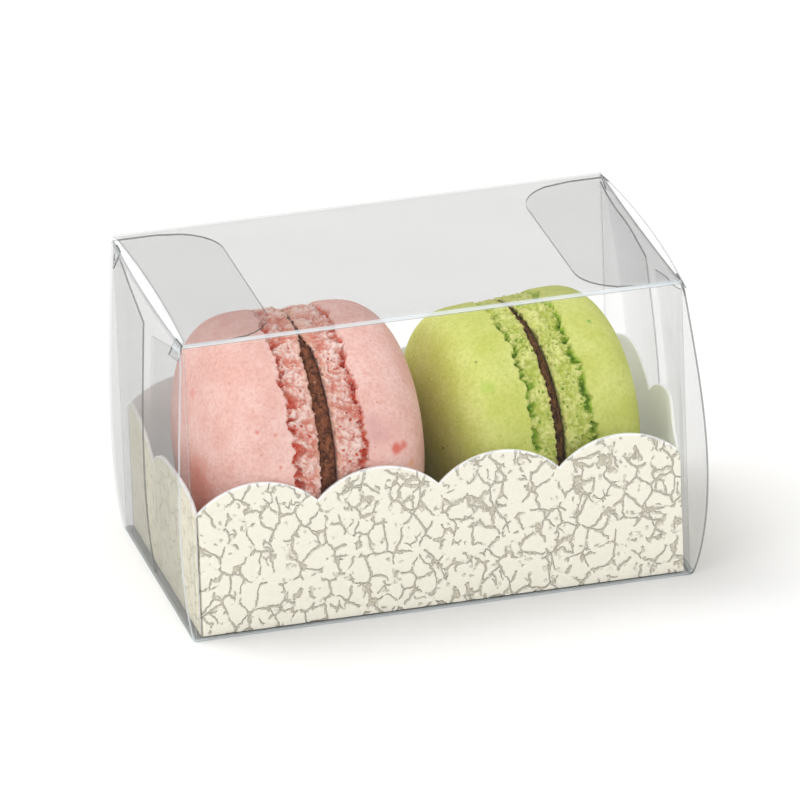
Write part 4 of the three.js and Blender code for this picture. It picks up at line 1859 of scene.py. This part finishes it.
@dataclass
class ShellTool:
    """The tree that gives a smooth turned shell its ragged foot, crevice, pores and crumbs.

    Args:
        ruffle: How far the foot waves in and out.
        ridge_lift: How far the ridge over the crevice waves up and down.
        pit_depth: The crevice's depth, where it is shallow and where it gapes.
        narrow_pit: How wide the crevice is where it is shallow.
        gaping: Where it gapes.
        pore_depth: A pore's depth.
        pore_mouth: The radii of the smallest and the largest pore, as shares of a lump.
        porous: Where the foot has pores.
        lump_relief: How high the lumps are, as a share of their size.
        rim_lift: How ragged the rim at the filling is.
        top_zone: Where the rim's bulge at the top begins and is full, as shares of the radius.
        dome_wobble: How far the dome waves in and out.
        crumb_density: How many loose crumbs lie on a square millimetre of foot.
        crumb_radius: A crumb's usual radius.
    """

    ruffle: float = 0.45
    ridge_lift: float = 1.1
    pit_depth: tuple[float, float] = (0.3, 1.5)
    narrow_pit: float = 0.16
    gaping: Patches = Patches(1.8, 3.0, 0.65, 0.37, 0.6)
    pore_depth: float = 0.85
    pore_mouth: tuple[float, float] = (0.22, 0.5)
    porous: Patches = Patches(3.5, 1.0, 0.5, 0.34, 0.46)
    lump_relief: float = 1.4
    rim_lift: float = 0.55
    top_zone: tuple[float, float] = (0.82, 0.97)
    dome_wobble: float = 0.1
    crumb_density: float = 0.8
    crumb_radius: float = 0.15
    tool: NodeTool = field(init=False)

    def __post_init__(self) -> None:
        """Builds the tree."""
        self.tool = NodeTool("Ragged shell")
        tool = self.tool
        graph = tool.graph
        names = ("Seed", "Pit Width", "Pore Chance", "Lump Size", "Top Bulge", "Up")
        ask = {name: tool.ask(name) for name in names}
        random_seed = tool.ask("Random Seed", "Int")
        material = tool.ask("Meringue", "Material")

        position = tool.position()
        x, y, _ = graph.parts(position)
        seed = ask["Seed"]
        drift = graph.combine(seed, graph.product(seed, 1.7), graph.product(seed, 2.3))
        place = graph.vector("ADD", position, drift)
        flat = graph.vector("ADD", graph.combine(x, y, 0.0), drift)
        outwards = graph.vector("NORMALIZE", graph.combine(x, y, 0.0))
        over, band = tool.read("over"), tool.read("band")

        wide = graph.product(graph.swing(flat, 4.0, 1.0), 1.1)
        jag = graph.product(graph.swing(flat, 1.2, 3.0), 0.9)
        ridge = graph.product(graph.total(wide, jag), self.ridge_lift, tool.read("lift"))
        fine_jag = graph.product(graph.swing(place, 0.4, 1.0), 0.6)
        ragged = graph.total(graph.swing(place, 0.9, 3.0), fine_jag)
        at_top = graph.ease(graph.product(x, ask["Up"]), *self.top_zone)
        rim_shift = graph.math("SUBTRACT", graph.product(ragged, self.rim_lift),
                               graph.product(at_top, ask["Top Bulge"]))
        rim_shift = graph.product(rim_shift, tool.read("rim"))

        level = graph.total(over, graph.product(graph.swing(place, 0.8), 0.22),
                            graph.product(graph.swing(place, 0.4, 1.0), 0.16))
        opening = self.gaping.share(graph, flat)
        width = graph.mix(opening, self.narrow_pit, ask["Pit Width"])
        below = graph.ease(level, 0.1, -0.06)
        near = graph.ease(level, graph.product(width, -1.7), graph.product(width, -0.5))
        depth = graph.product(below, near, band, graph.mix(opening, *self.pit_depth))

        foot = graph.product(graph.ease(level, 0.12, -0.05), band)
        sized = graph.vector("SCALE", place, graph.math("DIVIDE", 1.0, ask["Lump Size"]))
        large, _ = graph.cells(sized, 1.0)
        small, _ = graph.cells(sized, 0.45)
        lumps = graph.total(
            graph.product(graph.math("SUBTRACT", 0.5, large), 0.62),
            graph.product(graph.math("SUBTRACT", 0.45, small), 0.3),
        )
        lumps = graph.total(graph.product(lumps, ask["Lump Size"]),
                            graph.product(graph.swing(place, 2.8), self.ruffle),
                            graph.product(graph.swing(place, 0.45), 0.16))
        lumps = graph.product(lumps, self.lump_relief, foot)

        hole, random = graph.cells(sized, 1.0)
        chance, size, _ = graph.parts(random)
        mouth = graph.mix(size, *self.pore_mouth)
        pore = graph.product(graph.ease(hole, mouth, graph.product(mouth, 0.4)),
                             graph.math("LESS_THAN", chance, ask["Pore Chance"]),
                             self.porous.share(graph, place), foot)
        pores = graph.product(pore, self.pore_depth)

        dome = graph.ease(level, 0.0, 1.0)
        swell = graph.product(graph.swing(place, 9.0), self.dome_wobble, dome)
        out = graph.math("SUBTRACT", graph.total(lumps, swell), graph.total(depth, pores))
        moved = graph.vector("ADD", position, graph.vector("SCALE", outwards, out))
        moved = graph.vector("ADD", moved, graph.combine(0.0, 0.0, graph.total(ridge, rim_shift)))

        marked = tool.store(tool.entry.outputs["Geometry"], "foot", foot)
        marked = tool.store(marked, "relief", lumps)
        # The cavity mark drives the painted shade of the crevice and pores in the meringue's finish.
        cavity = graph.math("MAXIMUM", graph.product(depth, 0.62), graph.product(pore, 0.88))
        marked = tool.store(marked, "cavity", cavity)
        shaped = tool.place(marked, moved)
        tool.close(tool.paint(self.loose_crumbs(shaped, tool.read("foot"), random_seed), material))

    def loose_crumbs(self, shell: Socket, foot: Socket, seed: Socket) -> Socket:
        """Sets small crumbs in the foot's surface.

        Args:
            shell: The shell's mesh.
            foot: The share of foot at each point.
            seed: The random seed.

        Returns:
            The shell with its crumbs.
        """
        graph = self.tool.graph
        points = graph.node("GeometryNodeDistributePointsOnFaces", distribute_method="RANDOM")
        density = graph.product(self.crumb_density, graph.ease(foot, 0.8, 1.0))
        graph.fill(points, {"Mesh": shell, "Density": density, "Seed": seed})
        ball = graph.node("GeometryNodeMeshIcoSphere")
        graph.fill(ball, {"Radius": self.crumb_radius, "Subdivisions": 1})
        sizes = graph.node("FunctionNodeRandomValue", data_type="FLOAT_VECTOR")
        graph.fill(sizes, {"Min": (0.45, 0.45, 0.45), "Max": (1.5, 1.5, 1.5), "Seed": seed})
        copies = graph.fill(graph.node("GeometryNodeInstanceOnPoints"), {
            "Points": points.outputs["Points"],
            "Instance": ball.outputs["Mesh"],
            "Rotation": points.outputs["Rotation"],
            "Scale": sizes.outputs[0],
        })
        crumbs = self.tool.realized(copies.outputs["Instances"])
        for mark, value in (("foot", 1.0), ("relief", 0.3), ("cavity", 0.0)):
            crumbs = self.tool.store(crumbs, mark, value)
        joined = graph.node("GeometryNodeJoinGeometry")
        graph.feed(joined.inputs[0], crumbs)
        graph.feed(joined.inputs[0], shell)
        return joined.outputs[0]

    def apply(self, start: bpy.types.Object, name: str, shell: Shell, side: Side,
              material: bpy.types.Material) -> bpy.types.Object:
        """Makes one shell ragged."""
        return self.tool.apply(
            start, name,
            Seed=shell.seed,
            Pit_Width=shell.pit_width,
            Pore_Chance=shell.pore_chance,
            Lump_Size=shell.lump,
            Top_Bulge=shell.bulge,
            Up=-int(side) / shell.radius,
            Random_Seed=int(shell.seed),
            Meringue=material,
        )


@dataclass
class CreamTool:
    """The tree that makes a filling's rim uneven.

    Args:
        relief: How far the rim goes in and out.
    """

    relief: float = 0.5
    tool: NodeTool = field(init=False)

    def __post_init__(self) -> None:
        """Builds the tree."""
        self.tool = NodeTool("Uneven cream")
        tool = self.tool
        graph = tool.graph
        seed = tool.ask("Seed")
        material = tool.ask("Cream", "Material")
        position = tool.position()
        _, y, z = graph.parts(position)
        outwards = graph.vector("NORMALIZE", graph.combine(0.0, y, z))
        place = graph.vector("ADD", position, graph.combine(seed, seed, seed))
        coarse = graph.swing(place, 2.2, 3.0)
        fine = graph.swing(place, 0.6, 3.0)
        bumps = graph.total(coarse, graph.product(fine, 0.8))
        out = graph.product(bumps, self.relief, tool.read("cream"))
        moved = graph.vector("ADD", position, graph.vector("SCALE", outwards, out))
        shaped = tool.place(tool.entry.outputs["Geometry"], moved)
        tool.close(tool.paint(shaped, material))

    def apply(self, start: bpy.types.Object, name: str, seed: float,
              material: bpy.types.Material) -> bpy.types.Object:
        """Makes one filling uneven."""
        return self.tool.apply(start, name, Seed=seed, Cream=material)


@dataclass
class Camera:
    """The photo's camera, whose seven sizes were fitted to the carton's corners."""

    azimuth: float = -13.515
    elevation: float = 22.888
    roll: float = -2.246
    distance: float = 1998.7
    aim_right: float = -0.129
    aim_up: float = 0.742
    aim_height: float = 25.0
    sensor: float = 36.0
    focal_pixels: float = 12734.6
    picture_width: float = 800.0

    def build(self) -> None:
        """Makes the camera and gives it to the scene."""
        azimuth, elevation = math.radians(self.azimuth), math.radians(self.elevation)
        level = math.cos(elevation)
        back = Vector((math.sin(azimuth) * level, -math.cos(azimuth) * level, math.sin(elevation)))
        level_right = Vector((math.cos(azimuth), math.sin(azimuth), 0.0))
        level_up = back.cross(level_right)
        roll = math.radians(self.roll)
        right = level_right * math.cos(roll) + level_up * math.sin(roll)
        up = back.cross(right)
        aim = Vector((PACK_SHIFT, 0.0, self.aim_height)) + right * self.aim_right + up * self.aim_up
        place = Matrix((right, up, back)).transposed().to_4x4()
        place.translation = (aim + back * self.distance) * MM
        data = bpy.data.cameras.new("photo_camera")
        data.sensor_width = self.sensor
        data.lens = self.focal_pixels * self.sensor / self.picture_width
        data.clip_start = 0.1
        data.clip_end = 20.0
        made = bpy.data.objects.new("photo_camera", data)
        made.matrix_world = place
        bpy.context.scene.collection.objects.link(made)
        bpy.context.scene.camera = made


@dataclass(frozen=True)
class SoftLight:
    """A square softbox that looks at the carton."""

    name: str
    place: tuple[float, float, float]
    size: float
    watts: float

    def build(self) -> None:
        """Makes the light."""
        data = bpy.data.lights.new(self.name, "AREA")
        data.shape = "SQUARE"
        data.size = self.size
        data.energy = self.watts
        made = bpy.data.objects.new(self.name, data)
        made.location = self.place
        target = Vector((0.0, 0.0, 0.02))
        made.rotation_euler = (target - made.location).to_track_quat("-Z", "Y").to_euler()
        bpy.context.scene.collection.objects.link(made)


@dataclass
class Studio:
    """A white floor, soft lights and a white surround."""

    floor_size: float = 6.0
    surround: float = 0.7
    lights: tuple[SoftLight, ...] = (
        SoftLight("top_softbox", (-0.6, 0.5, 1.2), 1.0, 12.0),
        SoftLight("front_softbox", (0.3, -1.5, 0.7), 0.9, 9.5),
        SoftLight("left_softbox", (-1.3, -0.7, 0.6), 0.7, 4.5),
    )

    def build(self) -> None:
        """Builds the floor, lights, surround and colour handling."""
        self.floor()
        self.world()
        for light in self.lights:
            light.build()
        scene = bpy.context.scene
        scene.view_settings.view_transform = "Standard"
        scene.cycles.transparent_max_bounces = 40
        scene.cycles.caustics_reflective = False
        scene.cycles.caustics_refractive = False

    def floor(self) -> None:
        """The floor, white and matt."""
        material, graph, shader, place = Surface("studio floor").open()
        tone = graph.noise(place, 60.0, 1.0)
        graph.fill(shader, {
            "Base Color": graph.tint(tone, (0.88, 0.876, 0.868), (0.87, 0.866, 0.858)),
            "Roughness": 0.9,
            "Specular IOR Level": 0.1,
        })
        half = self.floor_size / MM / 2
        signs = ((-1, -1), (1, -1), (1, 1), (-1, 1))
        corners = np.array([(half * x, half * y, 0.0) for x, y in signs])
        made = Block(corners, [(0, 1, 2, 3)], [0]).mesh("floor", [material])
        made.data.transform(Matrix.Scale(MM, 4))

    def world(self) -> None:
        """A plain white surround."""
        world = bpy.data.worlds.new("white surround")
        world.use_nodes = True
        bpy.context.scene.world = world
        world.node_tree.nodes["Background"].inputs["Color"].default_value = (1.0, 1.0, 1.0, 1.0)
        world.node_tree.nodes["Background"].inputs["Strength"].default_value = self.surround


PINK_CAKE = SandwichCake(
    name="pink",
    finish=PINK_FINISH,
    cream_finish=MILK_CREAM,
    slot=Slot.PINK,
    centre_x=-17.25,
    centre_y=-1.46,
    yaw=1.0,
    tilt=-0.45,
    dome_power=2.9,
    dome_root=2.57,
    filling_radius=19.3,
    left=Shell(21.0, 17.3, foot=4.2, face=-1.3, wedge=-0.3, seed=11.0, lump=0.9, pore_chance=0.35,
               bulge=0.6, pit_width=1.2),
    right=Shell(20.85, 17.4, foot=4.6, face=0.9, wedge=0.5, seed=29.0, lump=0.9, pore_chance=0.38,
                bulge=1.2, pit_width=0.85),
)
GREEN_CAKE = SandwichCake(
    name="green",
    finish=GREEN_FINISH,
    cream_finish=DARK_CREAM,
    slot=Slot.GREEN,
    centre_x=19.4,
    centre_y=0.76,
    yaw=8.2,
    tilt=0.45,
    dome_power=4.0,
    dome_root=2.2,
    filling_radius=17.5,
    left=Shell(18.9, 14.85, foot=3.6, face=-1.45, wedge=0.0, seed=47.0, lump=0.8, pore_chance=0.7,
               bulge=0.3, pit_width=0.9),
    right=Shell(19.0, 16.0, foot=4.7, face=0.25, wedge=0.1, seed=83.0, lump=0.8, pore_chance=0.7,
                bulge=0.5, pit_width=0.85),
)


def main() -> None:
    """Builds the classes in order and reports each piece."""
    logging.basicConfig(level=logging.INFO, format="%(name)s: %(message)s")
    Studio().build()
    Camera().build()
    shell_tool = ShellTool()
    cream_tool = CreamTool()
    FilmCarton().build()
    CardTray().build()
    for cake in (PINK_CAKE, GREEN_CAKE):
        cake.build(shell_tool, cream_tool)


if __name__ == "__main__":
    main()
